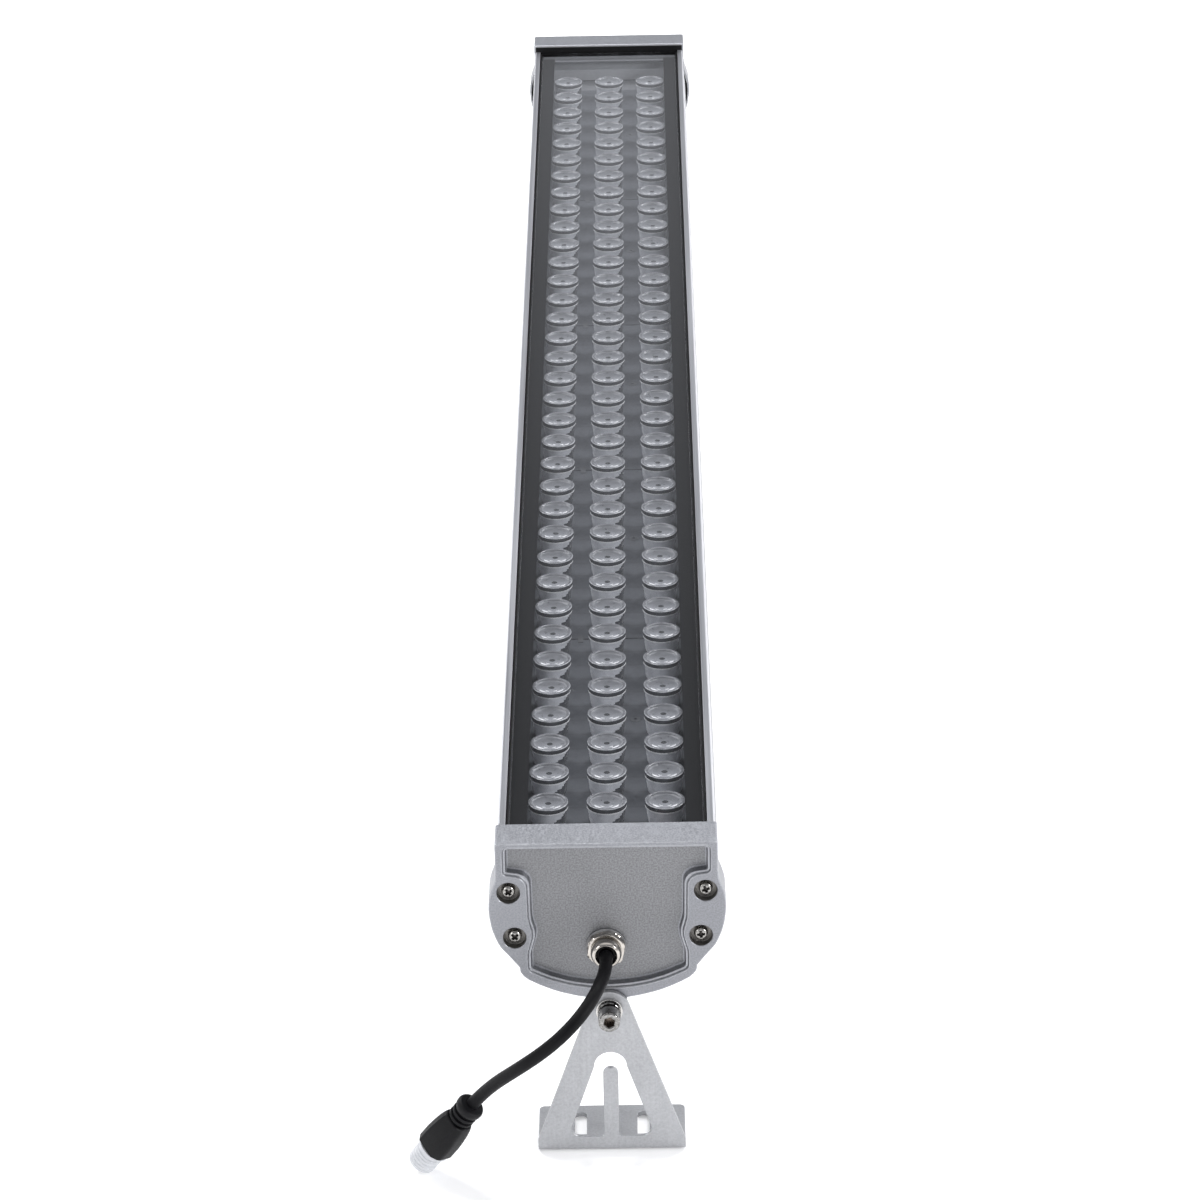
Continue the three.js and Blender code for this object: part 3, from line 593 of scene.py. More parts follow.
    # inside of the collimator: painted reflection and shading, lighter at each lens's near side and darker at its far
    # side
    s = Shader("lens_bowl_painted_shading", (0.26, 0.265, 0.28), 0.2, 0.15)
    w = s.node("ShaderNodeTexWave", wave_type="BANDS", bands_direction="Y", wave_profile="SAW")
    w.inputs["Scale"].default_value = 2 * math.pi / (20 * 0.02622)
    w.inputs["Distortion"].default_value = 0.0
    w.inputs["Phase Offset"].default_value = math.pi
    s.link(s.position(), w.inputs["Vector"])
    g = s.noise(420, 3, 0.6)
    # gradient across each lens along Y: painted shading
    shade = s.ramp(w.outputs["Fac"], [(0.28, (0.36, 0.37, 0.395)), (0.44, (0.26, 0.267, 0.287)), (0.58, (0.15, 0.155, 0.168)), (0.74, (0.085, 0.088, 0.097))])
    s.color(s.mix(0.2, shade, s.ramp(g, [(0.3, (0.10, 0.103, 0.112)), (0.7, (0.34, 0.35, 0.37))])))
    s.rough(s.range(g, 0.26, 0.4))
    s.bump(g, 0.5, 0.0003)
    M["bowl"] = s.m
    s = Shader("lens_gap_shade", (0.08, 0.083, 0.09), 0.2, 0.0)
    g = s.noise(500, 2)
    s.color(s.ramp(g, [(0.3, (0.072, 0.075, 0.082)), (0.7, (0.11, 0.114, 0.123))]))
    s.rough(s.range(g, 0.15, 0.3))
    M["lens_dark"] = s.m
    s = Shader("lens_top_ring", (0.2, 0.205, 0.22), 0.1, 0.0)
    s.b.inputs["Transmission Weight"].default_value = 0.2
    g = s.noise(500, 2)
    s.color(s.ramp(g, [(0.3, (0.17, 0.175, 0.188)), (0.7, (0.26, 0.266, 0.283))]))
    s.rough(s.range(g, 0.06, 0.16))
    M["lens_top"] = s.m
    # lighter outer rim of the flange top: painted highlight
    s = Shader("lens_rim_painted_highlight", (0.4, 0.41, 0.43), 0.15, 0.0)
    g = s.noise(420, 3, 0.6)
    s.color(s.ramp(g, [(0.35, (0.26, 0.267, 0.285)), (0.65, (0.55, 0.56, 0.585))]))
    s.rough(s.range(g, 0.1, 0.25))
    M["lens_rim"] = s.m
    # near white for the bead and the dish ridges: painted highlights
    s = Shader("lens_painted_highlight", (0.75, 0.76, 0.79), 0.15, 0.0)
    g = s.noise(600, 2)
    s.color(s.ramp(g, [(0.3, (0.74, 0.75, 0.77)), (0.6, (0.95, 0.955, 0.97))]))
    M["ledge"] = s.m
    s = Shader("lens_eye", (0.10, 0.103, 0.108), 0.2, 0.0)
    g = s.noise(900, 2)
    s.color(s.ramp(g, [(0.3, (0.035, 0.037, 0.04)), (0.7, (0.06, 0.062, 0.066))]))
    M["eye"] = s.m
    # cover glass: clear, with a Fresnel reflection
    m = bpy.data.materials.new("cover_glass")
    m.use_nodes = True
    nt = m.node_tree
    nt.nodes.clear()
    out = nt.nodes.new("ShaderNodeOutputMaterial")
    mixer = nt.nodes.new("ShaderNodeMixShader")
    lw = nt.nodes.new("ShaderNodeLayerWeight")
    lw.inputs["Blend"].default_value = 0.5
    pw = nt.nodes.new("ShaderNodeMath")
    pw.operation = "POWER"
    pw.inputs[1].default_value = 5.0
    fr = nt.nodes.new("ShaderNodeMath")
    fr.operation = "MULTIPLY_ADD"
    fr.inputs[1].default_value = 0.96
    fr.inputs[2].default_value = 0.04
    nt.links.new(lw.outputs["Facing"], pw.inputs[0])
    nt.links.new(pw.outputs[0], fr.inputs[0])
    tr = nt.nodes.new("ShaderNodeBsdfTransparent")
    gl = nt.nodes.new("ShaderNodeBsdfGlossy")
    gl.inputs["Roughness"].default_value = 0.02
    gl.inputs["Color"].default_value = (1, 1, 1, 1)
    tc = nt.nodes.new("ShaderNodeTexCoord")
    ns = nt.nodes.new("ShaderNodeTexNoise")
    ns.inputs["Scale"].default_value = 18
    rp = nt.nodes.new("ShaderNodeValToRGB")
    rp.color_ramp.elements[0].color = (0.965, 0.968, 0.975, 1)
    rp.color_ramp.elements[1].color = (0.985, 0.987, 0.993, 1)
    nt.links.new(tc.outputs["Object"], ns.inputs["Vector"])
    nt.links.new(ns.outputs["Fac"], rp.inputs["Fac"])
    nt.links.new(rp.outputs["Color"], tr.inputs["Color"])
    nt.links.new(fr.outputs[0], mixer.inputs[0])
    nt.links.new(tr.outputs[0], mixer.inputs[1])
    nt.links.new(gl.outputs[0], mixer.inputs[2])
    nt.links.new(mixer.outputs[0], out.inputs["Surface"])
    M["glass"] = m
    # inner pieces
    s = Shader("dark_oxide_screw", (0.075, 0.078, 0.085), 0.5, 0.3)
    g = s.noise(1500, 2)
    s.color(s.ramp(g, [(0.3, (0.066, 0.069, 0.075)), (0.7, (0.086, 0.09, 0.097))]))
    s.rough(s.range(g, 0.32, 0.5))
    M["dark_screw"] = s.m
    s = Shader("link_sleeve", (0.062, 0.065, 0.071), 0.55, 0.0)
    g = s.noise(900, 2)
    s.color(s.ramp(g, [(0.3, (0.055, 0.058, 0.063)), (0.7, (0.07, 0.073, 0.08))]))
    M["link"] = s.m
    s = Shader("lead_red", (0.25, 0.03, 0.025), 0.45, 0.0)
    g = s.noise(500, 2)
    s.color(s.ramp(g, [(0.3, (0.2, 0.022, 0.018)), (0.7, (0.3, 0.04, 0.03))]))
    M["lead"] = s.m
    s = Shader("driver_sheet", (0.42, 0.425, 0.43), 0.38, 0.9)
    g = s.noise(600, 3, 0.6, (1, 0.05, 1))
    s.color(s.ramp(g, [(0.3, (0.36, 0.365, 0.37)), (0.7, (0.47, 0.475, 0.48))]))
    s.rough(s.range(g, 0.3, 0.48))
    M["driver"] = s.m
    s = Shader("driver_board", (0.02, 0.11, 0.045), 0.45, 0.0)
    g = s.noise(300, 3)
    s.color(s.ramp(g, [(0.3, (0.014, 0.085, 0.035)), (0.7, (0.028, 0.14, 0.06))]))
    M["pcb"] = s.m
    return M


M = make_materials()


def paint(node, mat):
    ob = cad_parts[node]
    if not ob.data.materials:
        ob.data.materials.append(mat)
    for i in range(len(ob.material_slots)):
        ob.material_slots[i].material = mat


# =============================================================== the cord
ROUTE = [
    (-0.8, -503.5, 89.9), (-0.82, -508.6, 89.98), (-1.1, -513.71, 89.95), (-1.75, -518.79, 89.75), (-2.85, -523.75, 89.2),
    (-4.44, -528.45, 88.1), (-6.58, -532.75, 86.4), (-9.26, -536.45, 84.1), (-12.41, -539.37, 81.35), (-15.93, -541.37, 78.22),
    (-19.65, -542.37, 74.87), (-23.43, -542.44, 71.41), (-27.13, -541.75, 67.94), (-30.68, -540.46, 64.48), (-34.05, -538.7, 61.05),
    (-37.23, -536.6, 57.63), (-40.24, -534.27, 54.2), (-43.09, -531.81, 50.73), (-45.83, -529.36, 47.16), (-48.52, -527.06, 43.46),
    (-51.24, -525.08, 39.59), (-54.04, -523.61, 35.57),
]
CORD_R = 2.6
curve = bpy.data.curves.new("supply_cord_jacket", "CURVE")
curve.dimensions = "3D"
curve.resolution_u = 6
curve.bevel_depth = CORD_R * MM
curve.bevel_resolution = 7
curve.use_fill_caps = True
sp = curve.splines.new("BEZIER")
sp.bezier_points.add(len(ROUTE) - 1)
for bp, p in zip(sp.bezier_points, ROUTE):
    bp.co = [c * MM for c in p]
    bp.handle_left_type = bp.handle_right_type = "AUTO"
curve.materials.append(M["cord"])
cord = bpy.data.objects.new("supply_cord_jacket", curve)
scene.collection.objects.link(cord)
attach(cord, "lamp")
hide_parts("supply_cord")

# =============================================================== plug
PLUG_COLLAR = Vector((-54.12, -523.6, 35.51))
PLUG_AXIS = Vector((-0.5435, 0.2368, -0.8053)).normalized()
PLUG_TURN = math.radians(0)
plug_m = Matrix.Translation(PLUG_COLLAR) @ Vector((0, 0, 1)).rotation_difference(PLUG_AXIS).to_matrix().to_4x4()


def superloop(rx, ry, z, cut, n=48):
    """A rectangle rx by ry with its corners cut at 45 degrees by cut, slightly rounded."""
    k = [(rx, ry - cut), (rx - cut, ry), (-rx + cut, ry), (-rx, ry - cut), (-rx, -ry + cut), (-rx + cut, -ry), (rx - cut, -ry), (rx, -ry + cut)]
    pts = rounded(k, [0.35] * 8, 3)
    return [(x, y, z) for x, y in pts]


def plug_body():
    p = Part()
    n = 32
    # round collar and notched neck
    prof = [(0, 0.3), (2.9, 0.3), (4.9, 0.4), (5.45, 0.9), (5.7, 1.7), (5.6, 3.0), (5.2, 3.7), (4.3, 3.9), (4.1, 4.1), (4.1, 4.9),
            (4.3, 5.1), (5.1, 5.2), (5.25, 5.5), (5.25, 6.2), (5.05, 6.5), (4.2, 6.6), (4.1, 6.8), (4.1, 7.5), (4.25, 7.7),
            (5.1, 7.8), (5.25, 8.1), (5.25, 8.8), (5.05, 9.1), (4.2, 9.2), (4.1, 9.4), (4.1, 10.0), (4.2, 10.2)]
    p.lathe(prof, (0, 0, 0), n, axis="Z")
    # faceted body: eight-sided sections of n points each
    def section(rx, ry, cutk, z):
        k = superloop(rx, ry, z, cutk)
        # resample to n points by angle so that the rings match
        out = []
        for i in range(n):
            a = 2 * math.pi * i / n
            d = (math.cos(a), math.sin(a))
            best = None
            m = len(k)
            for j in range(m):
                x1, y1, x2, y2 = k[j][0], k[j][1], k[(j + 1) % m][0], k[(j + 1) % m][1]
                den = d[0] * (y2 - y1) - d[1] * (x2 - x1)
                if abs(den) < 1e-9:
                    continue
                t = (x1 * (y2 - y1) - y1 * (x2 - x1)) / den
                s = (x1 * d[1] - y1 * d[0]) / den
                if t > 0 and -1e-6 <= s <= 1 + 1e-6:
                    if best is None or t > best:
                        best = t
            out.append((d[0] * best, d[1] * best, z))
        return out
    secs = []
    for z, rx, ry, c in [(10.2, 4.9, 4.6, 1.9), (10.5, 5.3, 5.0, 2.1), (12.0, 5.75, 5.4, 2.3), (15, 6.3, 5.9, 2.5), (19, 6.75, 6.3, 2.7), (23, 7.0, 6.5, 2.8), (27.6, 7.0, 6.5, 2.8), (28.2, 6.95, 6.45, 2.8), (28.5, 6.7, 6.2, 2.7)]:
        secs.append(p.ring(section(rx, ry, c, z)))
    p.skin(secs)
    inner = p.ring([(x * 0.2, y * 0.2, 28.5) for x, y, z in section(6.7, 6.2, 2.7, 28.5)])
    p.skin([secs[-1], inner])
    p.cap([inner])
    # back of the faceted body, closed round the neck
    neck = p.ring([(4.2 * math.cos(2 * math.pi * i / n), 4.2 * math.sin(2 * math.pi * i / n), 10.2) for i in range(n)])
    p.skin([neck, secs[0]])
    return p


finish_part(plug_body(), "plug_moulding", "lamp", [M["plug"]], ["plug_body"], smooth=28, matrix=plug_m)


def plug_insert():
    p = Part()
    prof = [(0, 28.85), (6.6, 28.85), (6.75, 29.0), (6.75, 30.0), (6.55, 30.25), (5.85, 30.35)]
    z = 30.6
    for _ in range(5):
        prof += [(5.85, z), (5.85, z + 0.85), (5.6, z + 1.0), (5.6, z + 1.35)]
        z += 1.55
    prof += [(5.75, z), (5.7, 39.2), (5.55, 39.55), (5.2, 39.8), (4.35, 39.8), (4.2, 39.6), (4.2, 31.6), (0, 31.6)]
    p.lathe(prof, (0, 0, 0), 40, axis="Z")
    return p


finish_part(plug_insert(), "plug_socket_insert", "lamp", [M["insert"]], ["plug_insert"], smooth=35, matrix=plug_m)
for i, x in ((1, -1.6), (2, 1.6)):
    p = Part()
    p.lathe([(0, 31.75), (0.75, 31.75), (0.75, 36.9), (0.6, 37.5), (0.3, 37.85), (0, 37.9)], (x, 0, 0), 16, axis="Z")
    finish_part(p, f"plug_contact_{i}", "lamp", [M["brass"]], [f"plug_pin_{i}"], matrix=plug_m)

# =============================================================== dimensions shared with the CAD
HALF, CAP_IN = 500.0, 482.7
AXIS_Z = 64.7
SCREWS = [("upper_right", 38.4, 116.1), ("upper_left", -38.4, 116.1), ("lower_right", 36.4, 96.2), ("lower_left", -36.4, 96.2)]
GLAND = (-0.8, 89.9)

# =============================================================== end caps
side_curve = catmull([(43.3, 125.5), (43.7, 121), (44.9, 117.5), (45.9, 114), (46.35, 109.8), (46.1, 105.3), (45.4, 100.9), (44, 96.3),
                      (42, 92), (39.2, 88.5), (35.9, 84.3)], 4)
notch = rounded([(35.9, 84.3), (34.85, 83.0), (34.6, 80.8), (33.3, 78.9), (31.6, 77.4)], [0, 1.2, 2.0, 2.0, 0], 3)
bottom_curve = catmull([(31.6, 77.4), (28, 75.4), (24, 73.5), (20, 71.9), (16, 70.7), (12, 69.7), (8.4, 69.05)], 3)
lug = [(7 * math.cos(math.radians(a)), AXIS_Z + 7 * math.sin(math.radians(a))) for a in range(30, -91, -10)]
lug[0] = (7.0, 68.3)
cap_right = [(0, 137.5), (20, 137.5)] + [(42.3, 137.5), (42.9, 137.34), (43.2, 137.0), (43.3, 136.5), (43.3, 131)] + side_curve[:-1] + notch[:-1] + bottom_curve[:-1] + [(8.4, 69.05), (7.3, 68.85)] + lug[1:]
cap_loop = mirror_loop(cap_right)

POCKET_KEYS_R = [(40.4, 136.0), (40.4, 124.0), (31.3, 122.5), (31.0, 104.0), (29.2, 97.4), (31.45, 89.0), (31.4, 81.3), (23.2, 77.5), (15.6, 75.0), (8.0, 73.7)]
POCKET_RADII_R = [2.3, 1.8, 5.5, 14, 9, 9, 2.8, 30, 40, 50]
pocket_keys = POCKET_KEYS_R + [(0.0, 73.2)] + [(-x, z) for x, z in reversed(POCKET_KEYS_R)]
pocket_radii = POCKET_RADII_R + [0] + list(reversed(POCKET_RADII_R))


def end_cap(sign):
    """sign -1: cord end. Outer face on |Y| = 500."""
    p = Part()

    def at(loop, depth):
        return p.ring([(x, sign * (HALF - depth), z) for x, z in loop])

    # outside: rounded front edge, slight draft, small back edge
    outer = [at(inset(cap_loop, 0.5), 0.0), at(inset(cap_loop, 0.24), 0.05), at(inset(cap_loop, 0.08), 0.2), at(inset(cap_loop, 0.01), 0.42),
             at(cap_loop, 1.0), at(cap_loop, 16.9), at(inset(cap_loop, 0.3), 17.3)]
    # front edge strips take the brighter edge finish: rubbed coat and painted highlight
    p.skin(outer[:4], 3)
    p.skin(outer[3:])
    # pocket: bead, first wall, shelf, second wall, fillet, floor
    steps = [(-0.5, 0.0), (-0.25, 0.05), (-0.05, 0.25), (0.05, 0.5), (0.16, 0.85), (0.36, 1.05), (0.8, 1.1), (1.0, 1.18), (1.14, 1.45),
             (1.3, 3.2), (1.55, 3.75), (2.1, 4.0)]
    pocket = [at(key_inset(pocket_keys, pocket_radii, d), y) for d, y in steps]
    # bead and shelf edge strips take the brighter edge finish: rubbed coat and painted highlight
    p.skin(pocket[:4], 3)
    p.skin(pocket[3:6])
    p.skin(pocket[5:9], 3)
    p.skin(pocket[8:])
    holes = []
    for _, x, z in SCREWS:
        rim = at(circle(x, z, 4.85, 32), 0.0)
        a, b, c = at(circle(x, z, 4.6, 32), 0.2), at(circle(x, z, 4.5, 32), 3.2), at(circle(x, z, 4.2, 32), 3.4)
        d = at(circle(x, z, 1.8, 32), 3.4)
        e = at(circle(x, z, 1.8, 32), 17.3)
        p.skin([rim, a])
        p.skin([a, b, c, d], 2)
        p.skin([d, e], 2)
        holes.append((rim, e))
    bolt_f = at(circle(0, AXIS_Z, 3.2, 24), 0.0)
    bolt_b = at(circle(0, AXIS_Z, 3.0, 24), 17.3)
    p.skin([bolt_f, bolt_b], 2)
    p.cap([outer[0], pocket[0], bolt_f] + [h[0] for h in holes])
    # the floor of the pocket, with the gland's hole at the cord end
    floor_holes = []
    if sign < 0:
        g0 = at(circle(*GLAND, 6.35, 32), 4.0)
        g1 = at(circle(*GLAND, 6.35, 32), 8.0)
        p.skin([g0, g1], 2)
        floor_holes.append(g0)
    p.cap([pocket[-1]] + floor_holes, 1)
    # back of the wall behind the pocket: a shallow room for the gland's locknut
    room = rounded([(27, 80.5), (27, 105.5), (-27, 105.5), (-27, 80.5)], [4, 4, 4, 4], 5)
    r0 = at(room, 17.3)
    r1 = at(room, 8.0)
    p.skin([r0, r1])
    if sign < 0:
        p.cap([r1, g1])
    else:
        p.cap([r1])
    # back face of the cap takes the light inside colour: painted light
    p.cap([outer[-1], r0, bolt_b] + [h[1] for h in holes], 4)
    # faces on top of the cap take the lighter copy: painted light
    for i, f in enumerate(p.f):
        if p.m[i] == 0 and all(p.v[j][2] > 136.9 for j in f):
            p.m[i] = 5
    return p


for tag, s in (("near", -1), ("far", 1)):
    finish_part(end_cap(s), f"end_cap_{tag}_casting", "lamp", [M["cast"], M["cast_floor"], M["bore"], M["cast_edge"], M["inside"], M["cast_top"]], [f"end_cap_{tag}"], smooth=32)


# =============================================================== cap screws (Phillips, pan head)
def cap_screw(x, z, sign, turn):
    p = Part()
    seat = 496.85
    # head with a cross recess: rings in polar steps, the recess pushed inwards
    n = 48
    prof = [(2.72, 0.0), (2.75, 0.5), (2.7, 1.1), (2.55, 1.6), (2.3, 1.95), (1.95, 2.2), (1.65, 2.3), (1.35, 2.37), (1.05, 2.4), (0.75, 2.42), (0.45, 2.43), (0.2, 2.43)]
    rings = []
    for r, h in prof:
        pts = []
        for i in range(n):
            a = 2 * math.pi * i / n
            c, s = r * math.cos(a + turn), r * math.sin(a + turn)
            # cross: arms along the local axes, 0.42 half width, 1.55 long
            u, w = abs(r * math.cos(a)), abs(r * math.sin(a))
            arm = (min(u, w) < 0.42 + 0.12 * (1.6 - r) and r < 1.7)
            dip = 0.0
            if arm and h > 2.2:
                dip = 1.25 if r < 1.5 else 0.15
            pts.append((x + c, sign * (seat + h - dip), z + s))
        rings.append(p.ring(pts))
    for a, b in zip(rings, rings[1:]):
        for k in range(n):
            ia, ib = a[k], b[k]
            # faces deep in the cross recess take the near-black colour: painted shade
            deep = sum(1 for q in (a[k], a[(k + 1) % n], b[(k + 1) % n], b[k]) if abs(p.v[q][1]) < seat + 1.6 and rings.index(a) > 4)
            p.f.append((a[k], a[(k + 1) % n], b[(k + 1) % n], b[k]))
            p.m.append(1 if deep >= 2 else 0)
    p.cap([rings[-1]], 1)
    # shank
    shank = [p.ring([(x + r * math.cos(2 * math.pi * i / n), sign * (seat + h), z + r * math.sin(2 * math.pi * i / n)) for i in range(n)]) for r, h in ((1.45, 0.0), (1.45, -24.5), (0.6, -25.7))]
    p.skin([rings[0], shank[0], shank[1], shank[2]])
    p.cap([shank[2]])
    return p


turns = {"upper_right": 0.35, "upper_left": 0.6, "lower_right": 0.1, "lower_left": 0.75}
for tag, s in (("near", -1), ("far", 1)):
    for place, x, z in SCREWS:
        finish_part(cap_screw(x, z, s, turns[place] * (1 if s < 0 else -1)), f"pan_screw_{tag}_{place}", "lamp", [M["screw"], M["recess"]], [f"cap_screw_{tag}_{place}"], smooth=35)

# =============================================================== housing
house_side = catmull([(42.8, 128), (43.1, 121), (43.7, 115.5), (43.95, 110), (43.6, 105), (42.9, 101), (41.6, 96.6), (39.6, 92.4), (37, 88.6),
                      (34, 85.2), (30.5, 81.8), (26.5, 79), (22, 76.5), (16, 74), (10, 72.3), (4, 71.3), (0, 71.1)], 4)
rim_r = rounded([(39.6, 131), (39.6, 134.2), (42.0, 134.2), (42.62, 133.3), (42.7, 130.5)], [0, 0.35, 0.3, 0.3, 0], 3)
trough_r = [(36.0, 128.1), (36.0, 126.2), (39.8, 125.0), (39.8, 121.6), (36.0, 120.4), (34.6, 119.4), (34.6, 116.1)]
right_side = rim_r + house_side
house_loop = right_side + [(-x, z) for x, z in reversed(right_side) if abs(x) > 1e-6]
house_loop += [(-39.6, 128.1)] + [(-x, z) for x, z in trough_r] + [(x, z) for x, z in reversed(trough_r)] + [(39.6, 128.1)]
chamber = mirror_loop([(0, 113.1), (38.5, 113.1), (41, 111), (40.8, 102.4), (38.8, 100.6), (33, 100.4), (32, 98.8), (32, 93.4),
                       (33.2, 92), (35, 90.4), (32, 87), (28, 83.6), (23, 80.7), (16, 77.8), (8, 75.4), (0, 74.7)])


def housing():
    p = Part()
    end = 480.9
    rings = [p.ring([(x, y, z) for x, z in house_loop]) for y in (-end, end)]
    inner = [p.ring([(x, y, z) for x, z in chamber]) for y in (-end, end)]
    p.skin(rings)
    p.skin(inner)
    bores = []
    for _, x, z in SCREWS:
        b = [p.ring([(q, y, w) for q, w in circle(x, z, 1.75, 16)]) for y in (-end, end)]
        p.skin(b)
        bores.append(b)
    for k in (0, 1):
        p.cap([rings[k], inner[k]] + [b[k] for b in bores])
    for i, f in enumerate(p.f):
        # trough floor faces take the light grey: painted light
        if all(113 < p.v[j][2] < 118.3 and abs(p.v[j][0]) < 37 for j in f):
            p.m[i] = 1
        # lower body faces take the darker copy: painted shade
        elif min(p.v[j][2] for j in f) < 120:
            p.m[i] = 2
    return p


finish_part(housing(), "housing_extrusion", "lamp", [M["extrusion"], M["trough"], M["channel"]], ["housing"], smooth=28)


# =============================================================== glass and its print
def plate_y(loop_xz, y0, y1, mat=0, part=None):
    p = part or Part()
    a, b = p.ring([(x, y0, z) for x, z in loop_xz]), p.ring([(x, y1, z) for x, z in loop_xz])
    p.skin([a, b], mat)
    p.cap([a], mat)
    p.cap([b], mat)
    return p


glass = rounded([(-38.3, 129.75), (38.3, 129.75), (38.3, 133.7), (-38.3, 133.7)], [0.3, 0.3, 0.55, 0.55], 3)
finish_part(plate_y(glass, -479.5, 479.5), "cover_glass_pane", "lamp", [M["glass"]], ["glass_cover"], smooth=40)
# black border, printed on the lower side of the glass
pr = Part()
for s in (-1, 1):
    x0, x1 = sorted((s * 31.4, s * 38.2))
    a = [(x0, 129.9), (x1, 129.9), (x1, 130.0), (x0, 130.0)]
    plate_y(a, -479.4, 479.4, 0, pr)
finish_part(pr, "cover_print_border", "lamp", [M["print"]], smooth=40, weighted=False)

# =============================================================== LED boards
ROWS, ROW_PITCH, COL_PITCH, BOARDS = 35, 26.22, 23.3, 5
PER = ROWS // BOARDS


def box_part(p, x0, x1, y0, y1, z0, z1, mat=0, b=0.0):
    if b <= 0:
        r = [p.ring([(x0, y0, z), (x1, y0, z), (x1, y1, z), (x0, y1, z)]) for z in (z0, z1)]
    else:
        r = []
        for z, d in ((z0, 0), (z1 - b, 0), (z1, b)):
            r.append(p.ring([(x0 + d, y0 + d, z), (x1 - d, y0 + d, z), (x1 - d, y1 - d, z), (x0 + d, y1 - d, z)]))
    p.skin(r, mat)
    p.f.append(tuple(r[0]))
    p.m.append(mat)
    p.f.append(tuple(r[-1]))
    p.m.append(mat)


def led_board(k):
    p = Part()
    mid = (k * PER + (PER - 1) / 2 - (ROWS - 1) / 2) * ROW_PITCH
    half = PER * ROW_PITCH / 2 - 0.35
    z0, z1 = 116.4, 118.0
    loop = rounded([(-33.8, mid - half), (33.8, mid - half), (33.8, mid + half), (-33.8, mid + half)], [1.2] * 4, 4)
    hole = circle(COL_PITCH / 2, mid + ROW_PITCH / 2, 1.9, 16)
    rings = [p.ring([(x, y, z) for x, y in inset(loop, d)]) for z, d in ((z0, 0), (z1 - 0.15, 0), (z1, 0.15))]
    hr = [p.ring([(x, y, z) for x, y in hole]) for z in (z0, z1)]
    p.skin(rings)
    p.skin(hr)
    p.cap([rings[0], hr[0]])
    p.cap([rings[-1], hr[1]])
    for r in range(PER):
        y = (k * PER + r - (ROWS - 1) / 2) * ROW_PITCH
        for c in (-1, 0, 1):
            x = c * COL_PITCH
            box_part(p, x - 1.75, x + 1.75, y - 1.75, y + 1.75, z1 - 0.1, z1 + 0.7, 0, 0.15)
            box_part(p, x - 1.35, x + 1.35, y - 1.35, y + 1.35, z1 + 0.65, z1 + 0.95, 2, 0.2)
            for s in (-1, 1):
                box_part(p, x - 1.0, x + 1.0, y + s * 2.3 - 0.45, y + s * 2.3 + 0.45, z1 - 0.1, z1 + 0.06, 1, 0.0)
    return p


for k in range(BOARDS):
    finish_part(led_board(k), f"led_board_{k + 1}_panel", "lamp", [M["board"], M["pad"], M["emitter"]], [f"led_board_{k + 1}"], smooth=30, weld=1e-6)

# =============================================================== lenses
LENS_N = 40


DISH = [(6.65, 127.75), (6.45, 127.5), (6.1, 127.32), (5.6, 127.2), (4.9, 127.1), (4.0, 127.04), (3.0, 127.0), (1.25, 126.98)]


def dish_z(r):
    for (r0, z0), (r1, z1) in zip(DISH, DISH[1:]):
        if r1 <= r <= r0:
            return z0 + (z1 - z0) * (r0 - r) / (r0 - r1)
    return DISH[-1][1]


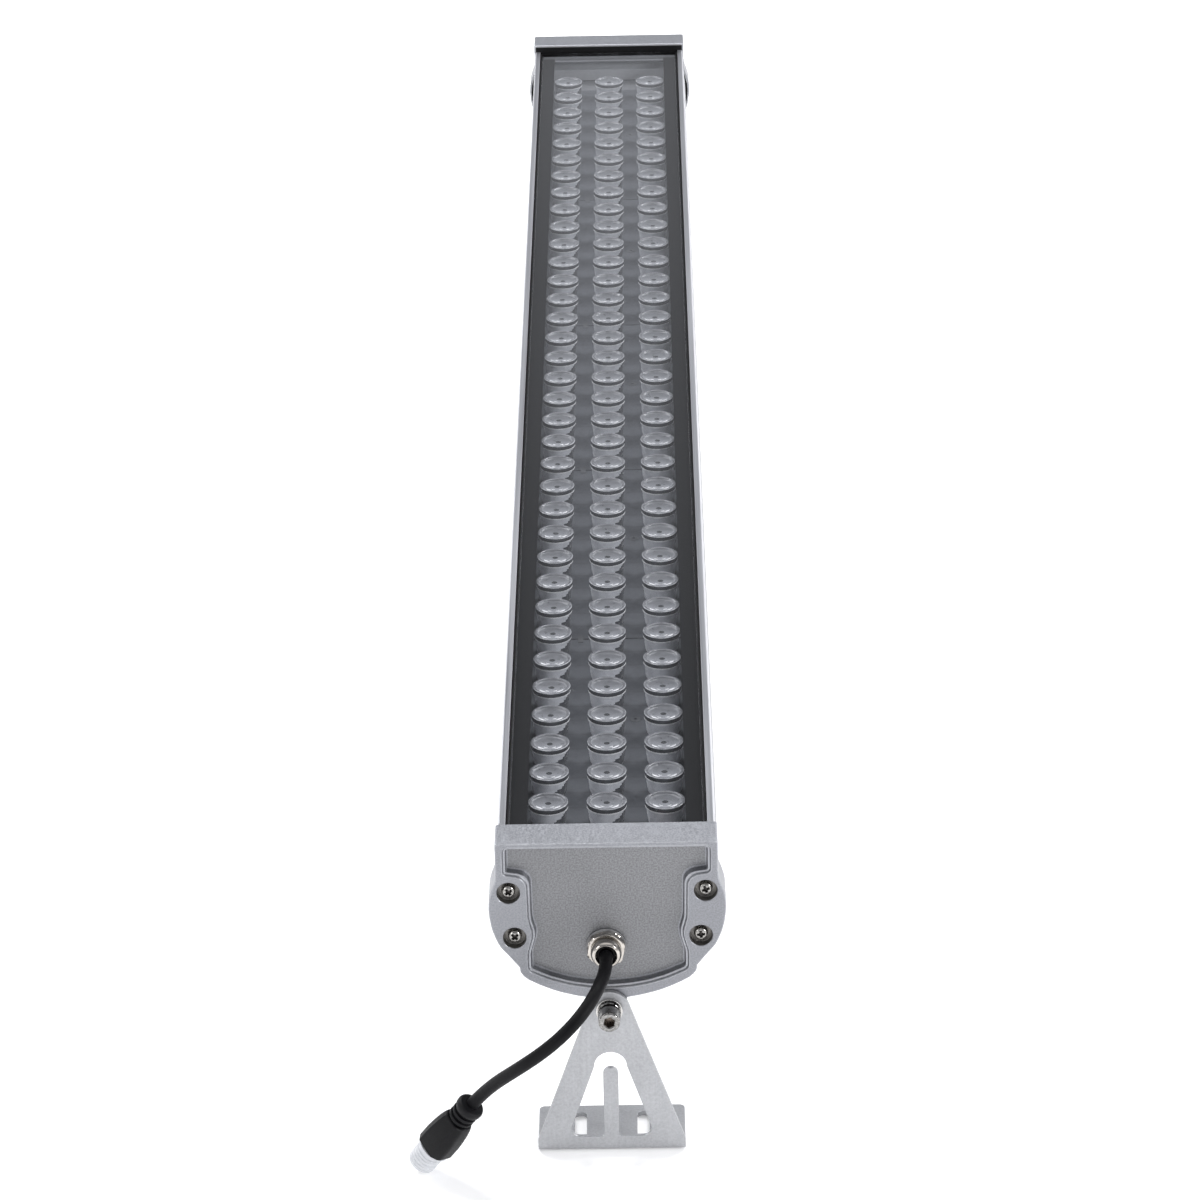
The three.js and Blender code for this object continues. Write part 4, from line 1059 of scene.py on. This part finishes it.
def one_lens(wedge):
    """Collimator lens about Z through the origin, at its real height: satin side wall, clear flange, dished face."""
    p = Part()
    n = LENS_N
    # foot and side wall; lenses with a neighbour on the right get a dark wedge at the lower right of their wall:
    # painted shade
    first = len(p.f)
    p.lathe([(2.3, 118.15), (6.1, 118.15), (6.5, 118.4), (6.75, 118.9), (6.95, 119.6), (7.08, 120.4), (7.18, 121.2), (7.26, 122.0), (7.33, 122.8), (7.39, 123.6),
             (7.44, 124.4), (7.5, 125.35)], (0, 0, 0), n, axis="Z", mat=0)
    if wedge:
        for i in range(first, len(p.f)):
            c = [sum(p.v[j][q] for j in p.f[i]) / len(p.f[i]) for q in range(3)]
            a = math.degrees(math.atan2(c[1], c[0]))
            if math.hypot(c[0], c[1]) > 6.0 and -120 < a < 35 and c[2] < 118 + min(1.0, (a + 120) / 95) * 7.0:
                p.m[i] = 5
    # bead under the flange, coloured near white: painted highlight
    p.lathe([(7.5, 125.35), (7.92, 125.4), (8.0, 125.6), (7.96, 125.9), (7.6, 126.0)], (0, 0, 0), n, axis="Z", mat=3)
    # clear flange: edge coloured dark as painted shade, rim coloured light as painted highlight, top ring
    p.lathe([(7.6, 126.0), (7.92, 126.05), (7.97, 126.2), (7.97, 127.65)], (0, 0, 0), n, axis="Z", mat=1)
    p.lathe([(7.97, 127.65), (7.9, 127.9), (7.72, 128.0)], (0, 0, 0), n, axis="Z", mat=7)
    p.lathe([(7.72, 128.0), (7.0, 128.0), (6.8, 127.9), DISH[0]], (0, 0, 0), n, axis="Z", mat=6)
    # dish and the small window over the emitter
    p.lathe(DISH, (0, 0, 0), n, axis="Z", mat=2)
    p.lathe([DISH[-1], (1.18, 126.9), (0.7, 126.88), (0, 126.88)], (0, 0, 0), n, axis="Z", mat=4)
    # low ridges in the dish, at front left and front right, coloured near white: painted glints
    for mid, half, r0, w in ((-134, 22, 5.3, 0.68), (-46, 22, 5.3, 0.68), (-118, 14, 3.7, 0.32), (-62, 14, 3.7, 0.32)):
        a_, b_, t_ = [], [], []
        for i in range(9):
            u = i / 8
            ang = math.radians(mid - half + 2 * half * u)
            q = w * math.sin(math.pi * min(max(u, 0.04), 0.96))
            for lst, r, up in ((a_, r0 - q, 0.01), (t_, r0, 0.2), (b_, r0 + q, 0.01)):
                lst.append((r * math.cos(ang), r * math.sin(ang), dish_z(r) + up))
        ra, rt, rb = p.ring(a_), p.ring(t_), p.ring(b_)
        for x, y in ((ra, rt), (rt, rb)):
            for i in range(8):
                p.f.append((x[i], y[i], y[i + 1], x[i + 1]))
                p.m.append(3)
    # cavity over the emitter
    p.lathe([(2.3, 118.15), (2.1, 120.3), (1.7, 121.2), (0.9, 121.6), (0, 121.7)], (0, 0, 0), n, axis="Z", mat=0)
    return p


lens_plain, lens_wedge = one_lens(False), one_lens(True)
for k in range(BOARDS):
    p = Part()
    for r in range(PER):
        for c in (-1, 0, 1):
            x, y = c * COL_PITCH, (k * PER + r - (ROWS - 1) / 2) * ROW_PITCH
            p.add(lens_plain if c == 1 else lens_wedge, Matrix.Translation((x, y, 0)))
    finish_part(p, f"lens_array_{k + 1}_optics", "lamp", [M["skirt"], M["lens"], M["bowl"], M["ledge"], M["eye"], M["lens_dark"], M["lens_top"], M["lens_rim"]], [f"lens_array_{k + 1}"], smooth=40, weighted=False, weld=1e-6)


# =============================================================== brackets
def bracket(sign):
    t, f_, b_ = 2.0, 502.3, 500.3
    z_bend, r_in = 2.6, 0.6
    foot_len = 502.3 - 470.6                       # 31.7
    # flat layout: v along the sheet, 0 at the bend's plate side (z = 2.6), up positive, foot negative
    L = 3.0                                        # bend's length in the flat layout
    foot_flat = foot_len - t - r_in                # beyond the bend
    v_foot = -(L + foot_flat)
    base_v = 5.2 - z_bend
    d = math.hypot(29.4, 5.2 - AXIS_Z)
    phi = math.atan2(5.2 - AXIS_Z, 29.4) + math.acos(8.0 / d)
    right = [(29.4, v_foot + 2.4), (29.4, base_v)]
    arc = [(8 * math.cos(phi + (math.pi / 2 - phi) * i / 14), AXIS_Z - z_bend + 8 * math.sin(phi + (math.pi / 2 - phi) * i / 14)) for i in range(15)]
    corner = [(29.4 - 2.4 + 2.4 * math.cos(math.radians(a)), v_foot + 2.4 + 2.4 * math.sin(math.radians(a))) for a in range(-90, 0, 15)]
    right_all = corner + right + arc[:-1]
    loop = right_all + [(0, AXIS_Z - z_bend + 8.0)] + [(-x, y) for x, y in reversed(right_all)]
    slope, tr, tz, low = 0.338, 6.5, 38.9, 6.7

    def side(z):
        return tr + (tz - z) * slope

    tongue, tongue_top = 3.0, 38.2
    corner_w = rounded([(0, low), (side(low) - 0.2, low), (side(low + 9), low + 9)], [0, 4.6, 0], 8)[1:-1]
    arc_w = [(tr * math.cos(math.radians(a)), tz + tr * math.sin(math.radians(a))) for a in range(0, 90, 9)]
    right_w = corner_w + [(side(20), 20.0), (side(30), 30.0)] + arc_w
    window = right_w + [(0, tz + tr)] + [(-x, z) for x, z in reversed(right_w)]
    foot_t = [(tongue + 0.9, low), (tongue + 0.27, low + 0.27), (tongue, low + 0.9)]
    head_t = [(tongue * math.cos(math.radians(a)), tongue_top - tongue + tongue * math.sin(math.radians(a))) for a in range(0, 90, 9)]
    right_t = foot_t + head_t
    window += [(-x, z) for x, z in right_t] + [(0, tongue_top)] + list(reversed(right_t))
    window = [(x, z - z_bend) for x, z in window]
    hole = circle(0, AXIS_Z - z_bend, 2.9, 24)
    slots = []
    for s in (-1, 1):
        x = 12.6 * s
        # |Y| 475.9..496.7 -> v
        v1 = -(L + (499.7 - 496.7))
        v0 = -(L + (499.7 - 475.9))
        slots.append(rounded([(x - 2.4, v0), (x + 2.4, v0), (x + 2.4, v1), (x - 2.4, v1)], [2.39] * 4, 8))
    loops = [loop, window, hole] + slots
    p = Part()
    e = 0.22
    tops, bots = [], []
    for i, lp in enumerate(loops):
        ins = 1 if i == 0 else -1
        rr = [p.ring([(x, y, w) for x, y in inset(lp, ins * dd)]) for w, dd in ((0.0, e), (0.07, 0.07), (e, 0.0), (t - e, 0.0), (t - 0.07, 0.07), (t, e))]
        p.skin(rr, 1)
        bots.append(rr[0])
        tops.append(rr[-1])
    p.cap(bots)
    p.cap(tops)
    # cut across the bend and fold
    me = bpy.data.meshes.new("tmp")
    me.from_pydata(p.v, [], p.f)
    me.polygons.foreach_set("material_index", p.m)
    bm = bmesh.new()
    bm.from_mesh(me)
    bmesh.ops.remove_doubles(bm, verts=bm.verts, dist=1e-4)
    for i in range(9):
        v = -L * i / 8
        geom = bm.verts[:] + bm.edges[:] + bm.faces[:]
        bmesh.ops.bisect_plane(bm, geom=geom, dist=1e-6, plane_co=(0, v, 0), plane_no=(0, 1, 0))
    for vert in bm.verts:
        x, v, w = vert.co
        if v >= 0:
            y, z = b_ + w, z_bend + v
        elif v >= -L:
            a = (-v / L) * math.pi / 2
            cy, cz = b_ - r_in, z_bend
            rad = r_in + w
            y, z = cy + rad * math.cos(a), cz - rad * math.sin(a)
        else:
            y, z = (b_ - r_in) - (-v - L), z_bend - r_in - w
        vert.co = Vector((x, y, z))
    q = Part()
    bm.verts.index_update()
    q.v = [tuple(v.co) for v in bm.verts]
    q.f = [tuple(v.index for v in f.verts) for f in bm.faces]
    q.m = [f.material_index for f in bm.faces]
    bm.free()
    bpy.data.meshes.remove(me)
    if sign < 0:
        q.v = [(-x, -y, z) for x, y, z in q.v]
    return q


for tag, s in (("near", -1), ("far", 1)):
    finish_part(bracket(s), f"bracket_{tag}_sheet", f"{tag}_bracket", [M["bracket"], M["bracket_edge"]], [f"bracket_{tag}"], smooth=35)


# =============================================================== bracket bolts and washers
def soft_ring(r0, r1, h0, h1, e=0.18):
    return [(r0, h0 + e), (r0 + e, h0), (r1 - e, h0), (r1 - e * 0.3, h0 + e * 0.3), (r1, h0 + e), (r1, h1 - e), (r1 - e * 0.3, h1 - e * 0.3), (r1 - e, h1), (r0 + e, h1), (r0, h1 - e), (r0, h0 + e)]


for tag, s in (("near", -1), ("far", 1)):
    p = Part()
    p.lathe(soft_ring(2.75, 5.3, 502.6, 503.8), (0, 0, AXIS_Z), 40, sign=s)
    finish_part(p, f"flat_washer_{tag}", "lamp", [M["stainless"]], [f"bolt_washer_{tag}"], smooth=35)
    # split spring washer: a square-section ring with a slanted gap and a slight rise
    p = Part()
    n = 44
    rings = []
    gap = math.radians(9)
    for i in range(n + 1):
        a = gap / 2 + (2 * math.pi - gap) * i / n + math.radians(62)
        rise = 0.35 * (i / n - 0.5)
        sec = [(2.8, 504.5 + 0.15 + rise), (2.95, 504.5 + rise), (4.55, 504.5 + rise), (4.7, 504.65 + rise), (4.7, 505.45 + rise), (4.55, 505.6 + rise), (2.95, 505.6 + rise), (2.8, 505.45 + rise)]
        rings.append(p.ring([(r * math.cos(a), s * h, AXIS_Z + r * math.sin(a)) for r, h in sec]))
    p.skin(rings)
    p.cap([rings[0]])
    p.cap([rings[-1]])
    finish_part(p, f"split_washer_{tag}", "lamp", [M["bolt"]], [f"spring_washer_{tag}"], smooth=35)
    # socket-head bolt, knurled side, six-sided socket
    p = Part()
    n = 72
    h0, h1 = 506.3, 512.6

    def ring_at(r, h, knurl=0.0, hexed=False, turn=0.0):
        pts = []
        for i in range(n):
            a = 2 * math.pi * i / n
            rr = r
            if knurl:
                rr = r - knurl * (0.5 - 0.5 * math.cos(a * 36))
            if hexed:
                b = (a - turn) % (math.pi / 3) - math.pi / 6
                rr = r * math.cos(math.pi / 6) / math.cos(b)
            pts.append((rr * math.cos(a), s * h, AXIS_Z + rr * math.sin(a)))
        return p.ring(pts)

    rings = [ring_at(2.35, 485.3), ring_at(2.35, h0), ring_at(4.0, h0), ring_at(4.35, h0 + 0.35, 0.0), ring_at(4.35, h0 + 0.7, 0.16), ring_at(4.35, h1 - 1.3, 0.16), ring_at(4.32, h1 - 0.95, 0.0),
             ring_at(4.25, h1 - 0.45), ring_at(4.0, h1 - 0.12), ring_at(3.7, h1), ring_at(2.75, h1), ring_at(2.45, h1 - 0.12, hexed=False)]
    p.skin(rings)
    hx = [ring_at(2.4, h1 - 0.3, hexed=True, turn=0.3), ring_at(2.35, h1 - 3.1, hexed=True, turn=0.3)]
    p.skin([rings[-1], hx[0]])
    p.skin(hx, 1)
    p.cap([hx[-1]], 1)
    p.cap([rings[0]])
    finish_part(p, f"socket_bolt_{tag}", "lamp", [M["bolt"], M["socket"]], [f"bracket_bolt_{tag}"], smooth=35)

# =============================================================== cable gland
gx, gz = GLAND
p = Part()
p.lathe(soft_ring(6.4, 7.95, 496.25, 496.95, 0.12), (gx, 0, gz), 48, sign=-1)
finish_part(p, "gland_seal_washer", "lamp", [M["nylon"]], ["gland_washer"], smooth=35)


def gland_hex():
    """Sealing body: low flange, six flats with chamfered corners, bore."""
    p = Part()
    n = 72
    turn = math.radians(19)

    def ring_at(r, h, hexed=False, limit=99.0):
        pts = []
        for i in range(n):
            a = 2 * math.pi * i / n
            rr = r
            if hexed:
                b = (a - turn) % (math.pi / 3) - math.pi / 6
                rr = min(limit, r * math.cos(math.pi / 6) / math.cos(b))
            pts.append((gx + rr * math.cos(a), -h, gz + rr * math.sin(a)))
        return p.ring(pts)

    R6 = 8.05
    rings = [ring_at(3.3, 485.3), ring_at(5.9, 485.3), ring_at(5.9, 497.25), ring_at(7.2, 497.25), ring_at(R6, 497.4, True, 7.7), ring_at(R6, 497.75, True, 8.0),
             ring_at(R6, 499.4, True, 8.0), ring_at(R6, 499.9, True, 7.6), ring_at(R6, 500.15, True, 7.15), ring_at(6.3, 500.2), ring_at(3.3, 500.2), ring_at(3.3, 485.3)]
    p.skin(rings)
    return p


finish_part(gland_hex(), "gland_hex_body", "lamp", [M["nickel"]], ["gland_body"], smooth=22)
p = Part()
p.lathe([(4.15, 500.5), (5.95, 500.5), (6.1, 500.65), (6.12, 501.3), (6.1, 502.0), (6.0, 502.7), (5.8, 503.3), (5.5, 503.85), (5.15, 504.2), (4.85, 504.4), (4.6, 504.48), (4.35, 504.45), (4.2, 504.3), (4.15, 504.0), (4.15, 500.5)], (gx, 0, gz), 56, sign=-1)
finish_part(p, "gland_dome", "lamp", [M["nickel"]], ["gland_dome_nut"], smooth=40)
p = Part()
p.lathe([(2.75, 500.7), (4.0, 500.7), (4.0, 502.7), (3.6, 503.0), (2.9, 503.05), (2.75, 502.8), (2.75, 500.7)], (gx, 0, gz), 40, sign=-1)
finish_part(p, "gland_seal_bush", "lamp", [M["rubber"]], ["gland_cord_seal"], smooth=35)

# =============================================================== board screws (flush heads) and links
for k in range(BOARDS):
    mid = (k * PER + (PER - 1) / 2 - (ROWS - 1) / 2) * ROW_PITCH
    at = (COL_PITCH / 2, mid + ROW_PITCH / 2)
    p = Part()
    p.lathe([(0, 116.45), (1.3, 116.45), (1.3, 117.7), (1.85, 118.0), (2.3, 118.02), (2.35, 118.12), (2.2, 118.2), (0.75, 118.22), (0.6, 117.9), (0, 117.85)], (*at, 0), 28, axis="Z")
    finish_part(p, f"board_screw_{k + 1}_flush", "lamp", [M["dark_screw"]], [f"board_screw_{k + 1}"], smooth=35)
    if k < BOARDS - 1:
        y = mid + PER * ROW_PITCH / 2
        p = Part()
        prof = [(-3.6, 118.08), (-3.4, 118.3), (-1.2, 118.34), (0, 118.42), (1.2, 118.34), (3.4, 118.3), (3.6, 118.08), (1.0, 118.1), (0, 118.18), (-1.0, 118.1)]
        rr = []
        for x, d in ((-COL_PITCH / 2 - 1.2, 0.06), (-COL_PITCH / 2 - 1.1, 0.0), (-COL_PITCH / 2 + 1.1, 0.0), (-COL_PITCH / 2 + 1.2, 0.06)):
            rr.append(p.ring([(x, y + q[0], q[1]) for q in inset(prof, d)]))
        p.skin(rr)
        p.cap([rr[0]])
        p.cap([rr[-1]])
        finish_part(p, f"board_link_{k + 1}_strip", "lamp", [M["link"]], [f"board_link_{k + 1}"], smooth=35)

# =============================================================== CAD nodes that stay
for nodes, mat in (
    (["cover_gasket"], "cover_seal"),
    (["end_gasket_near", "end_gasket_far"], "rubber"),
    (["gland_locknut"], "nickel"),
    (["led_feed_lead"], "lead"),
    (["supply_lead_inner"], "cord"),
    (["driver_case"], "driver"),
    (["driver_board"], "pcb"),
):
    for nme in nodes:
        paint(nme, M[mat])

# =============================================================== floor and light
fm = Shader("studio_floor", (0.90, 0.90, 0.905), 0.8, 0.0)
fm.b.inputs["Emission Color"].default_value = (1, 1, 1, 1)
fm.b.inputs["Emission Strength"].default_value = 0.22
g = fm.noise(3, 2)
fm.color(fm.ramp(g, [(0.3, (0.895, 0.895, 0.9)), (0.7, (0.905, 0.905, 0.91))]))
me = bpy.data.meshes.new("studio_floor")
me.from_pydata([(-8, -8, -0.0005), (8, -8, -0.0005), (8, 8, -0.0005), (-8, 8, -0.0005)], [], [(0, 1, 2, 3)])
floor = bpy.data.objects.new("studio_floor", me)
scene.collection.objects.link(floor)
me.materials.append(fm.m)

world = bpy.data.worlds.new("studio")
scene.world = world
world.use_nodes = True
wn = world.node_tree
wn.nodes.clear()
wo = wn.nodes.new("ShaderNodeOutputWorld")
bg = wn.nodes.new("ShaderNodeBackground")
tc = wn.nodes.new("ShaderNodeTexCoord")
sx = wn.nodes.new("ShaderNodeSeparateXYZ")
rampn = wn.nodes.new("ShaderNodeValToRGB")
mr = wn.nodes.new("ShaderNodeMapRange")
mr.inputs["From Min"].default_value = -0.1
mr.inputs["From Max"].default_value = 1.0
wn.links.new(tc.outputs["Generated"], sx.inputs[0])
wn.links.new(sx.outputs["Z"], mr.inputs["Value"])
wn.links.new(mr.outputs["Result"], rampn.inputs["Fac"])


def el(z):
    return (z + 0.1) / 1.1


stops = [(el(0.0), 0.85), (el(0.24), 0.62), (el(0.36), 0.34), (el(0.46), 0.12), (el(0.66), 0.36), (el(1.0), 1.2)]
e = rampn.color_ramp.elements
while len(e) < len(stops):
    e.new(0.5)
for i, (p_, v_) in enumerate(stops):
    e[i].position = p_
    e[i].color = (v_ * 0.965, v_ * 0.99, v_ * 1.05, 1) if 0 < i < len(stops) - 1 else (v_, v_, v_ * 1.01, 1)
wn.links.new(rampn.outputs["Color"], bg.inputs["Color"])
bg.inputs["Strength"].default_value = 1.0
wn.links.new(bg.outputs[0], wo.inputs["Surface"])


def area_light(name, loc, target, sx_, sy_, power, color=(1, 1, 1)):
    d = bpy.data.lights.new(name, "AREA")
    d.shape = "RECTANGLE"
    d.size, d.size_y = sx_, sy_
    d.energy = power
    d.color = color
    o = bpy.data.objects.new(name, d)
    scene.collection.objects.link(o)
    o.location = loc
    o.rotation_euler = (Vector(target) - Vector(loc)).to_track_quat("-Z", "Y").to_euler()
    return o


area_light("soft_top_left", (-1.25, 1.0, 1.9), (0, 0.1, 0.1), 0.9, 2.0, 48)
area_light("soft_top_right", (1.25, 1.0, 1.9), (0, 0.1, 0.1), 0.9, 2.0, 52)
area_light("fill_left", (-1.9, -1.9, 1.2), (0, -0.3, 0.1), 0.7, 1.0, 14)
area_light("key_right", (2.1, -1.7, 1.2), (0, -0.2, 0.1), 0.4, 0.5, 34)

scene.view_settings.view_transform = "Standard"
scene.view_settings.look = "None"

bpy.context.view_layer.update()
